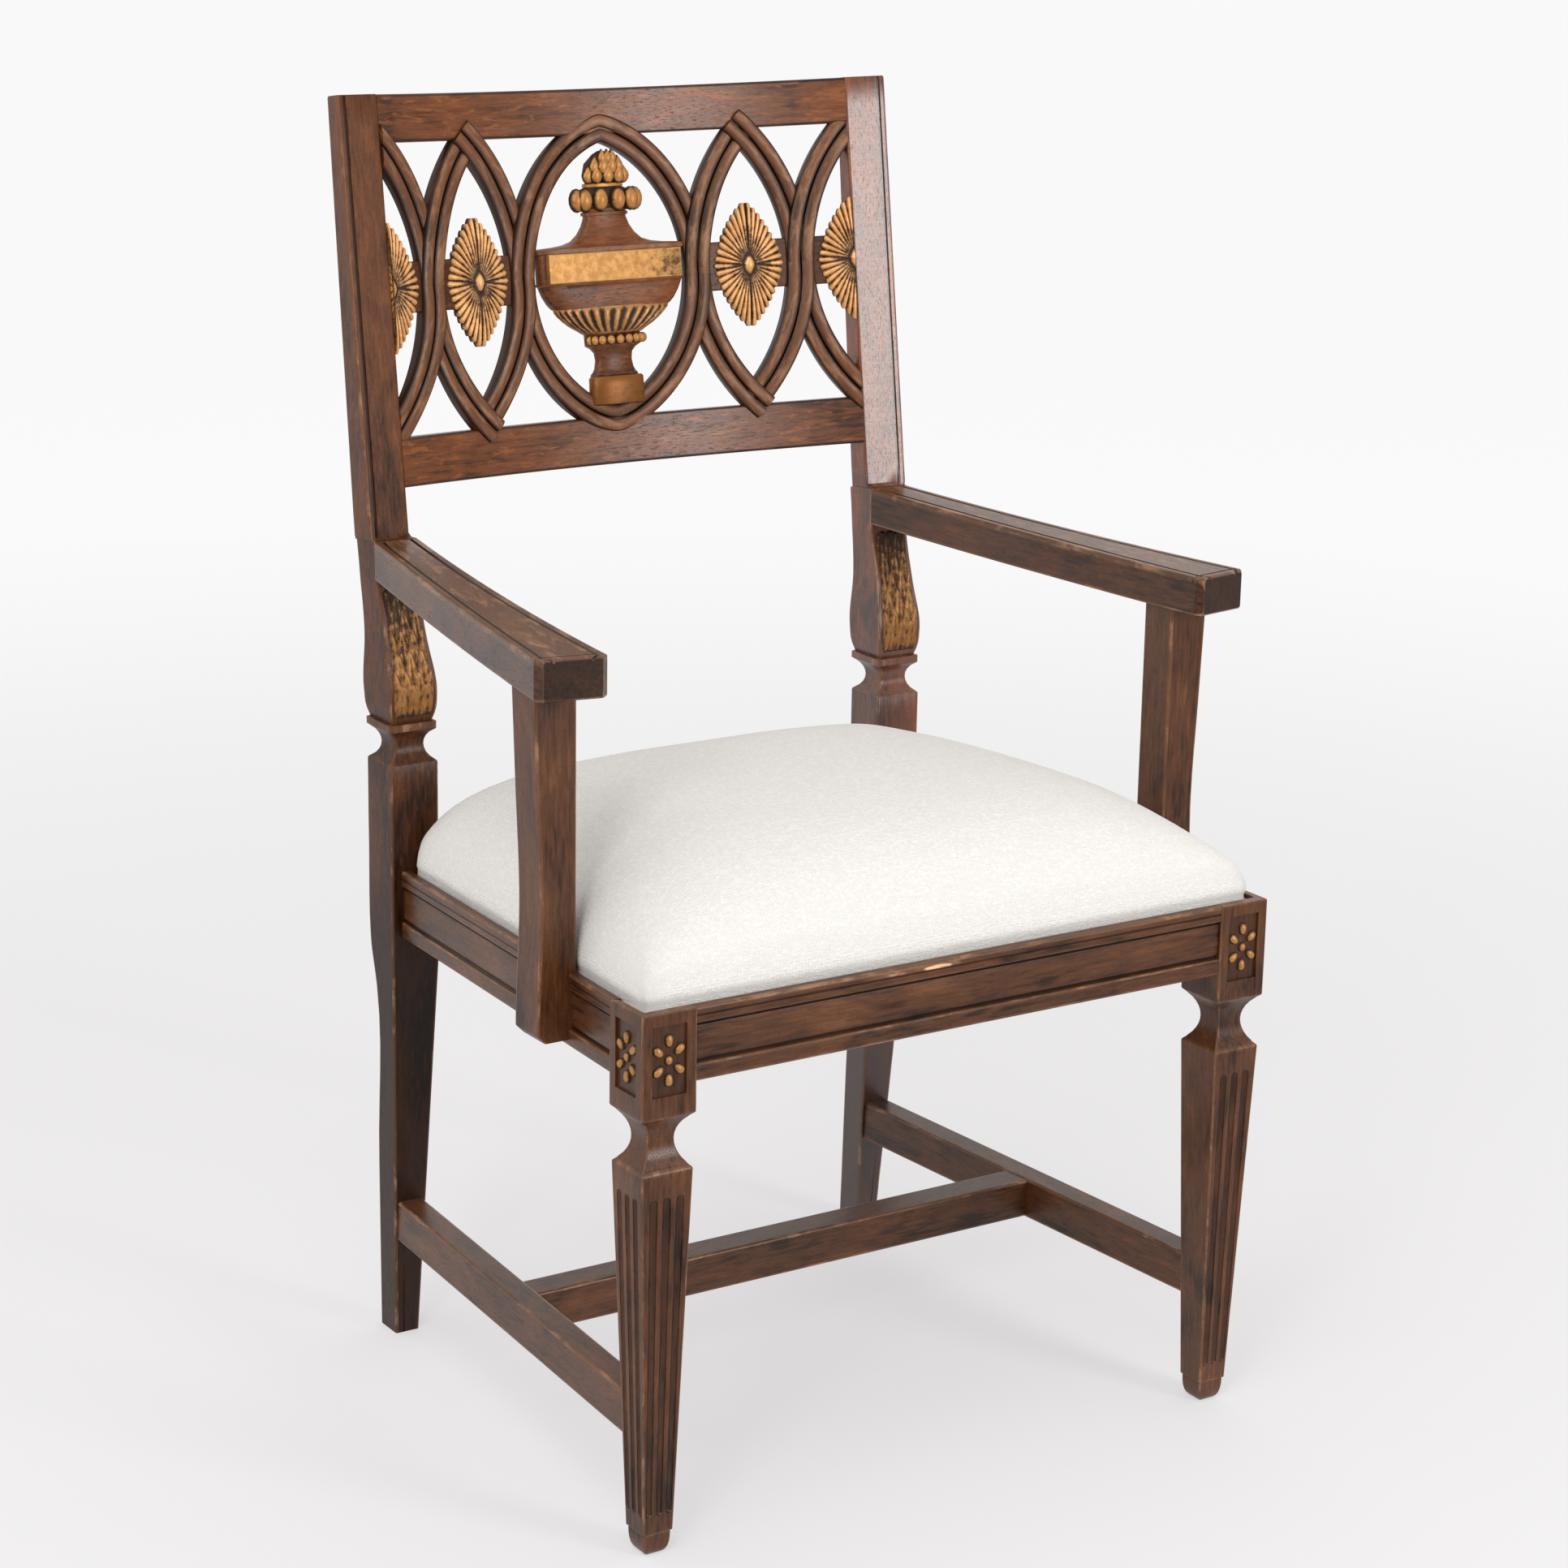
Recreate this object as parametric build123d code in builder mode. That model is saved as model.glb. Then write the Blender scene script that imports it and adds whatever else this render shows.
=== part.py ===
"""Open-arm chair with a pierced urn back, shaped arms and a drop-in seat.

Millimetres, +Z up. The chair faces -Y and stands on the floor at z = 0, with the origin under its middle.
Setbacks are measured backwards from the front faces of the front legs.
"""

import os
from math import atan2, cos, hypot, sin, sqrt

from build123d import *

os.makedirs("parts", exist_ok=True)

# Overall sizes
overall_height = 960
front_width = 535
rear_width = 481
seat_depth = 413

# Front legs
leg_size = 43
block_height = 73.5
neck_drop = 40
neck_size = 21.5
shoulder_size = 40.5
ankle_size = 24
foot_height = 17
foot_step = 1.5
foot_tip = 15
moulding_lip = 3
panel_depth = 2
panel_margin = 7.5
panel_height = 50
flute_count = 3
flute_pitch_top = 10.5
flute_pitch_bottom = 8
flute_radius_top = 3.2
flute_radius_bottom = 2.4

# Seat rails
rail_top = 400
rail_height = 53
rail_thickness = 25
rail_setback = 0.8
rail_bead = 13
rail_groove = 2
rail_field_sink = 1
rail_moulding = 12
rail_chamfer = 2.5
seat_fall = 13
side_rail_inset = 8
tenon_thickness = 9
tenon_height = 24
tenon_length = 18
rear_rail_setback = 426
rear_rail_thickness = 24
batten_depth = 28
batten_height = 20

# Rear legs and stiles
rear_leg_width = 40
rear_leg_depth = 39
rear_foot_kick = 25
rear_foot_width = 20
rear_foot_depth = 26
rear_foot_tuck = 12
knee_z = 320
stile_block_top = 470
stile_neck_width = 24.5
stile_neck_depth = 23
collar_z = 498
collar_height = 6
vase_z = 522
vase_swell = 2
vase_waist_rise = 45
vase_side_rise = 38
arm_seat_step = 22
stile_width = 35
stile_depth_bottom = 27
stile_depth_top = 17
shoulder_z = 637
shoulder_step = 5
top_setback = 485
stile_toe = 5

# Chair back
back_bow = 35
crest_height = 35.5
crest_thickness = 14
low_rail_rise = 36.6
low_rail_height = 37
band_width = 22
band_proud = 1.5
lattice_thickness = 7
lattice_raise = 1.9
oval_share = 0.379
oval_over = 3.3
vesica_short = 2.5
half_vesica_tuck = 0.75
back_tenon = 14
patera_lap = 1
patera_share = 0.433
patera_depth = 9

# Arms and their posts
arm_rear_width = 36
arm_front_tuck = 17.5
arm_front_flare = 33.5
arm_front_setback = 78
arm_front_skew = 9.5
arm_waist = 2.4
arm_thickness = 29
arm_front_z = 628
arm_middle_z = 630.5
arm_corner = 5
post_setback = 110
post_depth = 32
post_top_width = 33.5
post_waist_width = 27.5
post_foot_width = 30.5
post_rail_lap = 4.6
post_foot_drop = 50
post_shoulder_share = 0.68
post_waist_share = 0.38
post_chamfer = 6
post_tenon = 18

# Stretchers
stretcher_bottom = 81.5
stretcher_height = 32.5
stretcher_width = 21
stretcher_housing = 8
medial_setback = 220
medial_width = 27

# Drop-in seat
rim = 8
rebate_depth = 22
seat_gap = 1.5
seat_lift_clear = 0.3
seat_bar_width = 45
seat_bar_thickness = 18
webbing_width = 50
webbing_thickness = 1.4
webbing_count = 3
pad_crown = 86
cover_thickness = 0.8
cover_clear = 2
tack_diameter = 6
tack_height = 1

# Corner blocks and screws
corner_block_leg = 85
corner_block_height = 24
screw_diameter = 4.5
screw_length = 34

# Places worked out from the sizes above
rake = atan2(top_setback - seat_depth - arm_seat_step - shoulder_step, overall_height - shoulder_z)
back_reach = (stile_toe + back_bow + crest_thickness) * cos(rake)
front_y = -(top_setback + back_reach) / 2
stile_y = front_y + seat_depth
arm_end_y = stile_y + arm_seat_step
leg_x = front_width / 2 - leg_size / 2
leg_y = front_y + leg_size / 2
rail_bottom = rail_top - rail_height
rear_leg_x = rear_width / 2 - rear_leg_width / 2
stile_outer = rear_width / 2 + 1
stile_inner = stile_outer - stile_width
well_floor = rail_top - rebate_depth
rail_front_y = front_y + leg_size
side_rail_front_x = front_width / 2 - rail_setback
side_rail_rear_x = rear_width / 2 - side_rail_inset
rail_run = stile_y - rail_front_y
rail_turn = (side_rail_front_x - side_rail_rear_x) / rail_run
side_rail_across = rail_thickness * hypot(1, rail_turn)
seat_slope = seat_fall / rail_run
SIDES = (("left", -1), ("right", 1))


def finish(builder, name):
    """Label a finished sub-part and write its STEP file."""
    builder.part.label = name
    export_step(builder.part, f"parts/{name}.step")


def side_rail_face(y):
    """Half width of the chair over the side rails' outer faces at this y."""
    return side_rail_front_x - rail_turn * (y - rail_front_y)


def seat_plane(height):
    """Plane along the falling seat, this far above the floor of the seat's rebate."""
    base = Vector(0, rail_front_y, well_floor)
    normal = Vector(0, seat_slope, 1).normalized()
    return Plane(origin=base + normal * height, x_dir=(1, 0, 0), z_dir=normal)


def back_point(depth, rise):
    """Point on the chair's middle plane: depth behind the stiles' front line, rise along their rake."""
    base = Vector(0, arm_end_y + shoulder_step, shoulder_z)
    return base + Vector(0, cos(rake), -sin(rake)) * depth + Vector(0, sin(rake), cos(rake)) * rise


def back_plan(rise):
    """Plane square to the raked stiles, where local y runs backwards through the chair back."""
    return Plane(origin=back_point(0, rise), x_dir=(1, 0, 0), z_dir=(0, sin(rake), cos(rake)))


def back_elevation(rise):
    """Plane facing the sitter, where local y runs up the raked back."""
    return Plane(origin=back_point(0, rise), x_dir=(1, 0, 0), z_dir=(0, -cos(rake), sin(rake)))


back_top = (overall_height - shoulder_z) / cos(rake)
crest_bottom = back_top - crest_height
low_rail_top = low_rail_rise + low_rail_height
lattice_middle = (crest_bottom + low_rail_top) / 2 + lattice_raise
panel_half = (crest_bottom - low_rail_top) / 2
oval_half = oval_share * stile_inner
vesica_half = (stile_inner + half_vesica_tuck - oval_half) / 3
oval_rise = panel_half + oval_over
vesica_rise = panel_half - vesica_short
oval_radius = (oval_half**2 + oval_rise**2) / (2 * oval_half)
vesica_radius = (vesica_half**2 + vesica_rise**2) / (2 * vesica_half)
oval_offset = oval_radius - oval_half
vesica_offset = vesica_radius - vesica_half
patera_width = 2 * vesica_half - band_width + 2 * patera_lap
patera_height = 2 * patera_share * panel_half


def bowed_slab(half_width, front, thickness):
    """Plan of the bowed back: a strip between two arcs of the same bow."""
    with BuildSketch() as slab:
        with BuildLine():
            face = ThreePointArc((-half_width, front), (0, front + back_bow), (half_width, front))
            back = ThreePointArc(
                (half_width, front + thickness),
                (0, front + back_bow + thickness),
                (-half_width, front + thickness),
            )
            Line(face @ 1, back @ 0)
            Line(back @ 1, face @ 0)
        make_face()
    return slab.sketch


def lens(radius, offset):
    """Pointed oval between two arcs whose centres stand off its axis."""
    half_width = radius - offset
    half_height = sqrt(radius**2 - offset**2)
    with BuildSketch() as shape:
        with BuildLine():
            ThreePointArc((0, -half_height), (half_width, 0), (0, half_height))
            ThreePointArc((0, half_height), (-half_width, 0), (0, -half_height))
        make_face()
    return shape.sketch


def rail_section(facing):
    """Rail cross-section: foot bead, groove, sunk field and stepped top moulding on its outer face."""
    field_top = rail_height - rail_moulding
    outline = [
        (-rail_thickness, 0),
        (-rail_chamfer, 0),
        (0, rail_chamfer),
        (0, rail_bead),
        (-rail_groove, rail_bead),
        (-rail_groove, rail_bead + rail_groove),
        (-rail_field_sink, rail_bead + rail_groove),
        (-rail_field_sink, field_top),
        (0, field_top),
        (0, rail_height - rail_chamfer),
        (-rail_chamfer, rail_height),
        (-rail_thickness, rail_height),
    ]
    with BuildSketch() as section:
        with BuildLine():
            Polyline(*[(facing * across, up) for across, up in outline], close=True)
        make_face()
    return section.sketch


def front_leg_outline():
    """Front leg seen square on: block, cove neck, straight taper, stepped foot."""
    block_bottom = rail_top - block_height
    leg_top = block_bottom - neck_drop
    with BuildSketch() as outline:
        with BuildLine():
            block = Polyline(
                (0, rail_top),
                (leg_size / 2, rail_top),
                (leg_size / 2, block_bottom),
                (leg_size / 2 - moulding_lip, block_bottom - moulding_lip),
            )
            cove = ThreePointArc(
                block @ 1,
                (neck_size / 2, block_bottom - neck_drop / 2),
                (shoulder_size / 2 - moulding_lip, leg_top + moulding_lip),
            )
            Polyline(
                cove @ 1,
                (shoulder_size / 2, leg_top),
                (ankle_size / 2, foot_height),
                (ankle_size / 2 - foot_step, foot_height),
                (foot_tip / 2, 0),
                (0, 0),
            )
            mirror(about=Plane.YZ)
        make_face()
    return outline.sketch


def stile_side(low, high, neck, collar, swell, waist):
    """One moulded edge of the rear leg between block and arm: cove neck, collar, vase and straight top."""
    collar_low = collar_z - collar_height / 2
    collar_high = collar_z + collar_height / 2
    cove_middle = (stile_block_top + collar_low) / 2
    cove = ThreePointArc((low, stile_block_top), (neck, cove_middle), (collar, collar_low))
    edge = Line(cove @ 1, (collar, collar_high))
    vase = Spline((neck + (collar - neck) * 0.8, collar_high + 1), swell, waist, high)
    return [cove, edge, Line(edge @ 1, vase @ 0), vase]


# Seat well, cut out of the rails and front legs to leave a rim round the drop-in seat
well_front_y = rim - leg_size
well_front_x = side_rail_face(front_y + rim) - rim
well_rear_x = side_rail_face(stile_y) - rim
with BuildPart() as seat_well:
    with BuildSketch(seat_plane(0)):
        with BuildLine():
            Polyline(
                (-well_front_x, well_front_y),
                (well_front_x, well_front_y),
                (well_rear_x, rail_run - seat_gap / 2),
                (-well_rear_x, rail_run - seat_gap / 2),
                close=True,
            )
        make_face()
    extrude(amount=3 * rebate_depth)

# Front seat rail
front_rail_length = front_width - 2 * leg_size
front_rail_plane = Plane(
    origin=(front_rail_length / 2, front_y + rail_setback, rail_bottom), x_dir=(0, -1, 0), z_dir=(-1, 0, 0)
)
tenon_z = rail_bottom + tenon_height / 2 + rail_chamfer
with BuildPart() as front_seat_rail:
    with BuildSketch(front_rail_plane):
        add(rail_section(1))
    extrude(amount=front_rail_length)
    for facing in (-1, 1):
        with Locations(
            (
                facing * (front_rail_length + tenon_length) / 2,
                front_y + rail_setback + rail_thickness / 2,
                tenon_z,
            )
        ):
            Box(tenon_length, tenon_thickness, tenon_height)
    add(seat_well.part, mode=Mode.SUBTRACT)

# Rear seat rail and the batten that carries the back of the seat
rear_rail_y = front_y + rear_rail_setback + rear_rail_thickness / 2
rear_rail_z = rail_bottom - seat_fall + rail_height / 2
rear_rail_length = rear_width - 2 * rear_leg_width
with BuildPart() as rear_seat_rail:
    with Locations((0, rear_rail_y, rear_rail_z)):
        Box(rear_rail_length, rear_rail_thickness, rail_height)
    chamfer(edges().filter_by(Axis.X), length=1.5)
    with Locations((0, rear_rail_y, tenon_z - seat_fall)):
        Box(rear_rail_length + 2 * back_tenon, tenon_thickness, tenon_height)

batten_top = well_floor - seat_fall - 1
batten_y = front_y + rear_rail_setback - batten_depth / 2
with BuildPart() as rear_seat_batten:
    with Locations((0, batten_y, batten_top - batten_height / 2)):
        Box(rear_rail_length - 10, batten_depth, batten_height)
    chamfer(edges().filter_by(Axis.X).group_by(Axis.Y)[0], length=2)
finish(rear_seat_batten, "rear_seat_batten")

# Side seat rails
side_rails = {}
for side, sign in SIDES:
    direction = Vector(sign * rail_turn, -1, seat_slope)
    across = Vector(1, sign * rail_turn, 0)
    run_out = rail_thickness
    start = Vector(sign * side_rail_rear_x, stile_y, rail_bottom - seat_fall) - direction * run_out
    with BuildPart() as side_seat_rail:
        with BuildSketch(Plane(origin=start, x_dir=across, z_dir=direction)):
            add(rail_section(sign))
        extrude(amount=(rail_run + 2 * run_out) * direction.length)
        with Locations((0, (rail_front_y + stile_y) / 2, rail_top)):
            Box(2 * front_width, rail_run, 2 * rail_top, mode=Mode.INTERSECT)
        with Locations(
            (sign * (side_rail_front_x - rail_thickness / 2), rail_front_y - tenon_length / 2, tenon_z),
            (sign * (side_rail_rear_x - rail_thickness / 2), stile_y + tenon_length / 2, tenon_z - seat_fall),
        ):
            Box(tenon_thickness, tenon_length, tenon_height)
        add(seat_well.part, mode=Mode.SUBTRACT)
    side_rails[side] = side_seat_rail.part

# Side stretchers, housed in the legs, and the medial stretcher between them
stretcher_mid = stretcher_bottom + stretcher_height / 2
taper_top = rail_top - block_height - neck_drop
leg_half = ankle_size / 2 + (shoulder_size - ankle_size) / 2 * stretcher_mid / taper_top
stretcher_front_y = leg_y + leg_half - stretcher_housing
kick_here = rear_foot_kick * (1 - stretcher_mid / knee_z)
stretcher_rear_y = stile_y + kick_here + stretcher_housing
stretcher_rear_x = rear_leg_x - 1.5
stretchers = {}
for side, sign in SIDES:
    half = stretcher_width / 2
    with BuildPart() as side_stretcher:
        with BuildSketch(Plane.XY.offset(stretcher_bottom)):
            with BuildLine():
                Polyline(
                    (sign * (leg_x - half), stretcher_front_y),
                    (sign * (leg_x + half), stretcher_front_y),
                    (sign * (stretcher_rear_x + half), stretcher_rear_y),
                    (sign * (stretcher_rear_x - half), stretcher_rear_y),
                    close=True,
                )
            make_face()
        extrude(amount=stretcher_height)
    stretchers[side] = side_stretcher.part

stretcher_turn = (leg_x - stretcher_rear_x) / (stretcher_rear_y - stretcher_front_y)
medial_y = front_y + medial_setback + medial_width / 2
medial_half = leg_x - stretcher_turn * (medial_y - stretcher_front_y)
with BuildPart() as medial_stretcher:
    with Locations((0, medial_y, stretcher_mid)):
        Box(2 * medial_half, medial_width, stretcher_height - 2)
    for side, sign in SIDES:
        with BuildSketch(Plane.XY.offset(stretcher_bottom - 1)):
            with BuildLine():
                inner = [
                    sign * (leg_x - half - stretcher_turn * (y - stretcher_front_y))
                    for y in (stretcher_front_y, stretcher_rear_y)
                ]
                Polyline(
                    (inner[0], stretcher_front_y),
                    (inner[0] + sign * 3 * half, stretcher_front_y),
                    (inner[1] + sign * 3 * half, stretcher_rear_y),
                    (inner[1], stretcher_rear_y),
                    close=True,
                )
            make_face()
        extrude(amount=stretcher_height + 2, mode=Mode.SUBTRACT)
    with Locations((0, medial_y, stretcher_mid)):
        Box(2 * (medial_half - half + stretcher_housing), tenon_thickness, tenon_height)

for side, sign in SIDES:
    with BuildPart() as housed_stretcher:
        add(stretchers[side])
        add(medial_stretcher.part, mode=Mode.SUBTRACT)
    stretchers[side] = housed_stretcher.part
    finish(housed_stretcher, f"side_stretcher_{side}")
finish(medial_stretcher, "medial_stretcher")

# Crest rail and lower back rail, bowed in plan between the stiles
rail_slab = bowed_slab(stile_inner, stile_toe, crest_thickness)
tenon_depth = stile_toe + crest_thickness / 2
with BuildPart() as crest_rail:
    with BuildSketch(back_plan(crest_bottom)):
        add(rail_slab)
    extrude(amount=crest_height)
    with BuildSketch(back_plan(crest_bottom + 7)):
        with Locations((-stile_inner, tenon_depth), (stile_inner, tenon_depth)):
            Rectangle(2 * back_tenon, tenon_thickness / 2)
    extrude(amount=crest_height - 14)
finish(crest_rail, "crest_rail")

with BuildPart() as lower_back_rail:
    with BuildSketch(back_plan(low_rail_rise)):
        add(rail_slab)
    extrude(amount=low_rail_height)
    with BuildSketch(back_plan(low_rail_rise + 7)):
        with Locations((-stile_inner, tenon_depth), (stile_inner, tenon_depth)):
            Rectangle(2 * back_tenon, tenon_thickness / 2)
    extrude(amount=low_rail_height - 14)
finish(lower_back_rail, "lower_back_rail")

# Interlaced lattice of pointed ovals, sawn to the same bow, its tips lapped on the rails in low relief
vesica_x = oval_half + vesica_half
half_vesica_x = vesica_x + 2 * vesica_half
motifs = [
    (0, oval_radius, oval_offset),
    (-vesica_x, vesica_radius, vesica_offset),
    (vesica_x, vesica_radius, vesica_offset),
    (-half_vesica_x, vesica_radius, vesica_offset),
    (half_vesica_x, vesica_radius, vesica_offset),
]
with BuildPart() as back_lattice:
    for motif_x, radius, offset in motifs:
        with BuildSketch(back_elevation(lattice_middle)):
            with Locations((motif_x, 0)):
                add(lens(radius + band_width / 2, offset))
                add(lens(radius - band_width / 2, offset), mode=Mode.SUBTRACT)
        extrude(amount=3 * back_bow, both=True)
    with BuildSketch(back_plan(0)):
        add(bowed_slab(stile_inner, stile_toe - band_proud, lattice_thickness + band_proud))
    extrude(amount=back_top, mode=Mode.INTERSECT)
    add(crest_rail.part, mode=Mode.SUBTRACT)
    add(lower_back_rail.part, mode=Mode.SUBTRACT)
finish(back_lattice, "back_lattice")

# Urn: elliptical sections up the middle of the back. Each is its rise as a share of half the pierced panel,
# its half width as a share of half the oval's opening, and its half depth
urn_sections = [
    (-0.931, 0.327, 11),
    (-0.756, 0.357, 11),
    (-0.728, 0.238, 8),
    (-0.59, 0.238, 8),
    (-0.553, 0.387, 11),
    (-0.452, 0.387, 11),
    (-0.369, 0.595, 12),
    (-0.184, 0.862, 13),
    (-0.074, 1.011, 13),
    (0.175, 1.011, 13),
    (0.212, 0.506, 9),
    (0.304, 0.312, 8),
    (0.406, 0.253, 8),
    (0.424, 0.446, 11),
    (0.571, 0.446, 11),
    (0.599, 0.268, 9),
    (0.719, 0.268, 9),
    (0.839, 0.074, 5),
]
oval_opening = oval_half - band_width / 2
urn_depth = stile_toe + back_bow + lattice_thickness / 2
with BuildPart() as urn:
    for rise, half_width, half_depth in urn_sections:
        with BuildSketch(back_plan(lattice_middle + rise * panel_half)):
            with Locations((0, urn_depth)):
                Ellipse(half_width * oval_opening, half_depth)
    loft(ruled=True)
    add(back_lattice.part, mode=Mode.SUBTRACT)
    add(lower_back_rail.part, mode=Mode.SUBTRACT)
finish(urn, "urn")

# Paterae in the vesicas, whole in the two full ones and halved against the stiles
patera_places = [
    ("patera_left", -vesica_x),
    ("patera_right", vesica_x),
    ("half_patera_left", -half_vesica_x),
    ("half_patera_right", half_vesica_x),
]
for patera_name, patera_x in patera_places:
    with BuildPart() as patera:
        with BuildSketch(back_elevation(lattice_middle)):
            with Locations((patera_x, 0)):
                Ellipse(patera_width / 2, patera_height / 2)
            with Locations((0, 0)):
                Rectangle(2 * stile_inner, 2 * patera_height, mode=Mode.INTERSECT)
        extrude(amount=3 * back_bow, both=True)
        with BuildSketch(back_plan(0)):
            add(bowed_slab(stile_inner, stile_toe - band_proud, patera_depth))
        extrude(amount=back_top, mode=Mode.INTERSECT)
        add(back_lattice.part, mode=Mode.SUBTRACT)
    finish(patera, patera_name)

# Arms: plan outline and side outline crossed, with a tenon into the stile behind
raw_arms = {}
for side, sign in SIDES:
    skew = arm_front_skew / 2
    front_end_y = front_y + arm_front_setback
    inner_rear = rear_width / 2 - arm_rear_width
    arm_front_inner = front_width / 2 - arm_front_tuck
    arm_front_outer = front_width / 2 + arm_front_flare
    outer_rear = rear_width / 2
    inner_middle = (inner_rear + arm_front_inner) / 2 + arm_waist
    middle_y = (arm_end_y + front_end_y) / 2
    with BuildPart() as arm:
        with BuildSketch(Plane.XY):
            with BuildLine():
                inner_edge = ThreePointArc(
                    (sign * inner_rear, arm_end_y),
                    (sign * inner_middle, middle_y),
                    (sign * arm_front_inner, front_end_y - skew),
                )
                Polyline(
                    inner_edge @ 1,
                    (sign * arm_front_outer, front_end_y + skew),
                    (sign * outer_rear, arm_end_y),
                    inner_edge @ 0,
                )
            make_face()
            chamfer(vertices().sort_by(Axis.Y)[:2], length=arm_corner)
        extrude(amount=overall_height)
        with BuildSketch(Plane.YZ):
            with BuildLine():
                top = ThreePointArc(
                    (arm_end_y, shoulder_z),
                    (middle_y, arm_middle_z),
                    (front_end_y - arm_front_skew, arm_front_z),
                )
                under = ThreePointArc(
                    (front_end_y - arm_front_skew, arm_front_z - arm_thickness),
                    (middle_y, arm_middle_z - arm_thickness),
                    (arm_end_y, shoulder_z - arm_thickness),
                )
                Line(top @ 1, under @ 0)
                Line(under @ 1, top @ 0)
            make_face()
        extrude(amount=front_width, both=True, mode=Mode.INTERSECT)
        tenon_x = sign * (inner_rear + outer_rear) / 2
        with Locations((tenon_x, arm_end_y + back_tenon / 2, shoulder_z - arm_thickness / 2)):
            Box(post_tenon, back_tenon, post_tenon)
    raw_arms[side] = arm.part

# Screws from inside the side rails into the arm posts
post_mid_y = front_y + post_setback + post_depth / 2
post_screws_z = (rail_bottom + 7, rail_bottom + 17)
with BuildPart() as arm_post_screws:
    for side, sign in SIDES:
        for screw_z in post_screws_z:
            inner_face = side_rail_face(post_mid_y) - side_rail_across
            screw_plane = Plane(origin=(sign * inner_face, post_mid_y, screw_z), z_dir=(sign, rail_turn, 0))
            with Locations(screw_plane):
                Cylinder(screw_diameter / 2, screw_length, align=(Align.CENTER, Align.CENTER, Align.MIN))
                Cylinder(screw_diameter, 3, align=(Align.CENTER, Align.CENTER, Align.MIN))
finish(arm_post_screws, "arm_post_screws")

# Arm posts, lapped over the outer faces of the side rails and tenoned up into the arms
post_top_z = arm_front_z - arm_thickness / 2
post_foot_z = rail_top - post_foot_drop
post_span = post_top_z - post_foot_z
post_inner = side_rail_face(post_mid_y) - post_rail_lap
posts = {}
for side, sign in SIDES:
    with BuildPart() as arm_post:
        with BuildSketch(Plane.XZ.offset(-(front_y + post_setback))):
            with BuildLine():
                outer = Spline(
                    (sign * (post_inner + post_top_width), post_top_z),
                    (
                        sign * (post_inner + (post_top_width + post_waist_width) / 2),
                        post_foot_z + post_shoulder_share * post_span,
                    ),
                    (sign * (post_inner + post_waist_width), post_foot_z + post_waist_share * post_span),
                    (sign * (post_inner + post_foot_width), post_foot_z + post_chamfer),
                )
                Polyline(
                    outer @ 1,
                    (sign * (post_inner + post_foot_width - post_chamfer), post_foot_z),
                    (sign * post_inner, post_foot_z),
                    (sign * post_inner, post_top_z),
                    outer @ 0,
                )
            make_face()
        extrude(amount=-post_depth)
        add(raw_arms[side], mode=Mode.SUBTRACT)
        add(side_rails[side], mode=Mode.SUBTRACT)
        add(arm_post_screws.part, mode=Mode.SUBTRACT)
        with Locations((sign * (post_inner + post_top_width / 2), post_mid_y, arm_front_z - arm_thickness)):
            Box(post_tenon, post_tenon, post_tenon)
    posts[side] = arm_post.part
    finish(arm_post, f"arm_post_{side}")

for side, sign in SIDES:
    with BuildPart() as arm:
        add(raw_arms[side])
        add(posts[side], mode=Mode.SUBTRACT)
    raw_arms[side] = arm.part
    finish(arm, f"arm_{side}")

# Corner blocks behind the legs, screwed to the rails on both sides
rail_inner_y = front_y + rail_setback + rail_thickness
block_front_z = well_floor - 8 - corner_block_height
block_rear_z = block_front_z - seat_fall
batten_front_y = batten_y - batten_depth / 2
corner_blocks = {}
for side, sign in SIDES:
    front_reach_y = rail_front_y + corner_block_leg
    rear_reach_y = batten_front_y - corner_block_leg
    with BuildPart() as corner_block_front:
        with BuildSketch(Plane.XY.offset(block_front_z)):
            with BuildLine():
                Polyline(
                    (sign * (front_rail_length / 2 - corner_block_leg), rail_inner_y),
                    (sign * front_rail_length / 2, rail_inner_y),
                    (sign * front_rail_length / 2, rail_front_y),
                    (sign * (side_rail_face(rail_front_y) - side_rail_across), rail_front_y),
                    (sign * (side_rail_face(front_reach_y) - side_rail_across), front_reach_y),
                    close=True,
                )
            make_face()
        extrude(amount=corner_block_height)
    corner_blocks[f"corner_block_front_{side}"] = corner_block_front.part
    with BuildPart() as corner_block_rear:
        with BuildSketch(Plane.XY.offset(block_rear_z)):
            with BuildLine():
                rear_corner_x = side_rail_face(batten_front_y) - side_rail_across
                Polyline(
                    (sign * (rear_corner_x - corner_block_leg), batten_front_y),
                    (sign * rear_corner_x, batten_front_y),
                    (sign * (side_rail_face(rear_reach_y) - side_rail_across), rear_reach_y),
                    close=True,
                )
            make_face()
        extrude(amount=corner_block_height)
    corner_blocks[f"corner_block_rear_{side}"] = corner_block_rear.part

with BuildPart() as corner_block_screws:
    for side, sign in SIDES:
        for mid_y, screw_z in (
            (rail_front_y + corner_block_leg * 0.6, block_front_z + corner_block_height / 2),
            (batten_front_y - corner_block_leg * 0.6, block_rear_z + corner_block_height / 2),
        ):
            face_x = side_rail_face(mid_y) - side_rail_across
            screw_start = (sign * (face_x - screw_length / 2), mid_y, screw_z)
            with Locations(Plane(origin=screw_start, z_dir=(sign, 0, 0))):
                Cylinder(screw_diameter / 2, screw_length, align=(Align.CENTER, Align.CENTER, Align.MIN))
finish(corner_block_screws, "corner_block_screws")

for block_name, block in corner_blocks.items():
    with BuildPart() as corner_block:
        add(block)
        add(corner_block_screws.part, mode=Mode.SUBTRACT)
    finish(corner_block, block_name)

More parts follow.
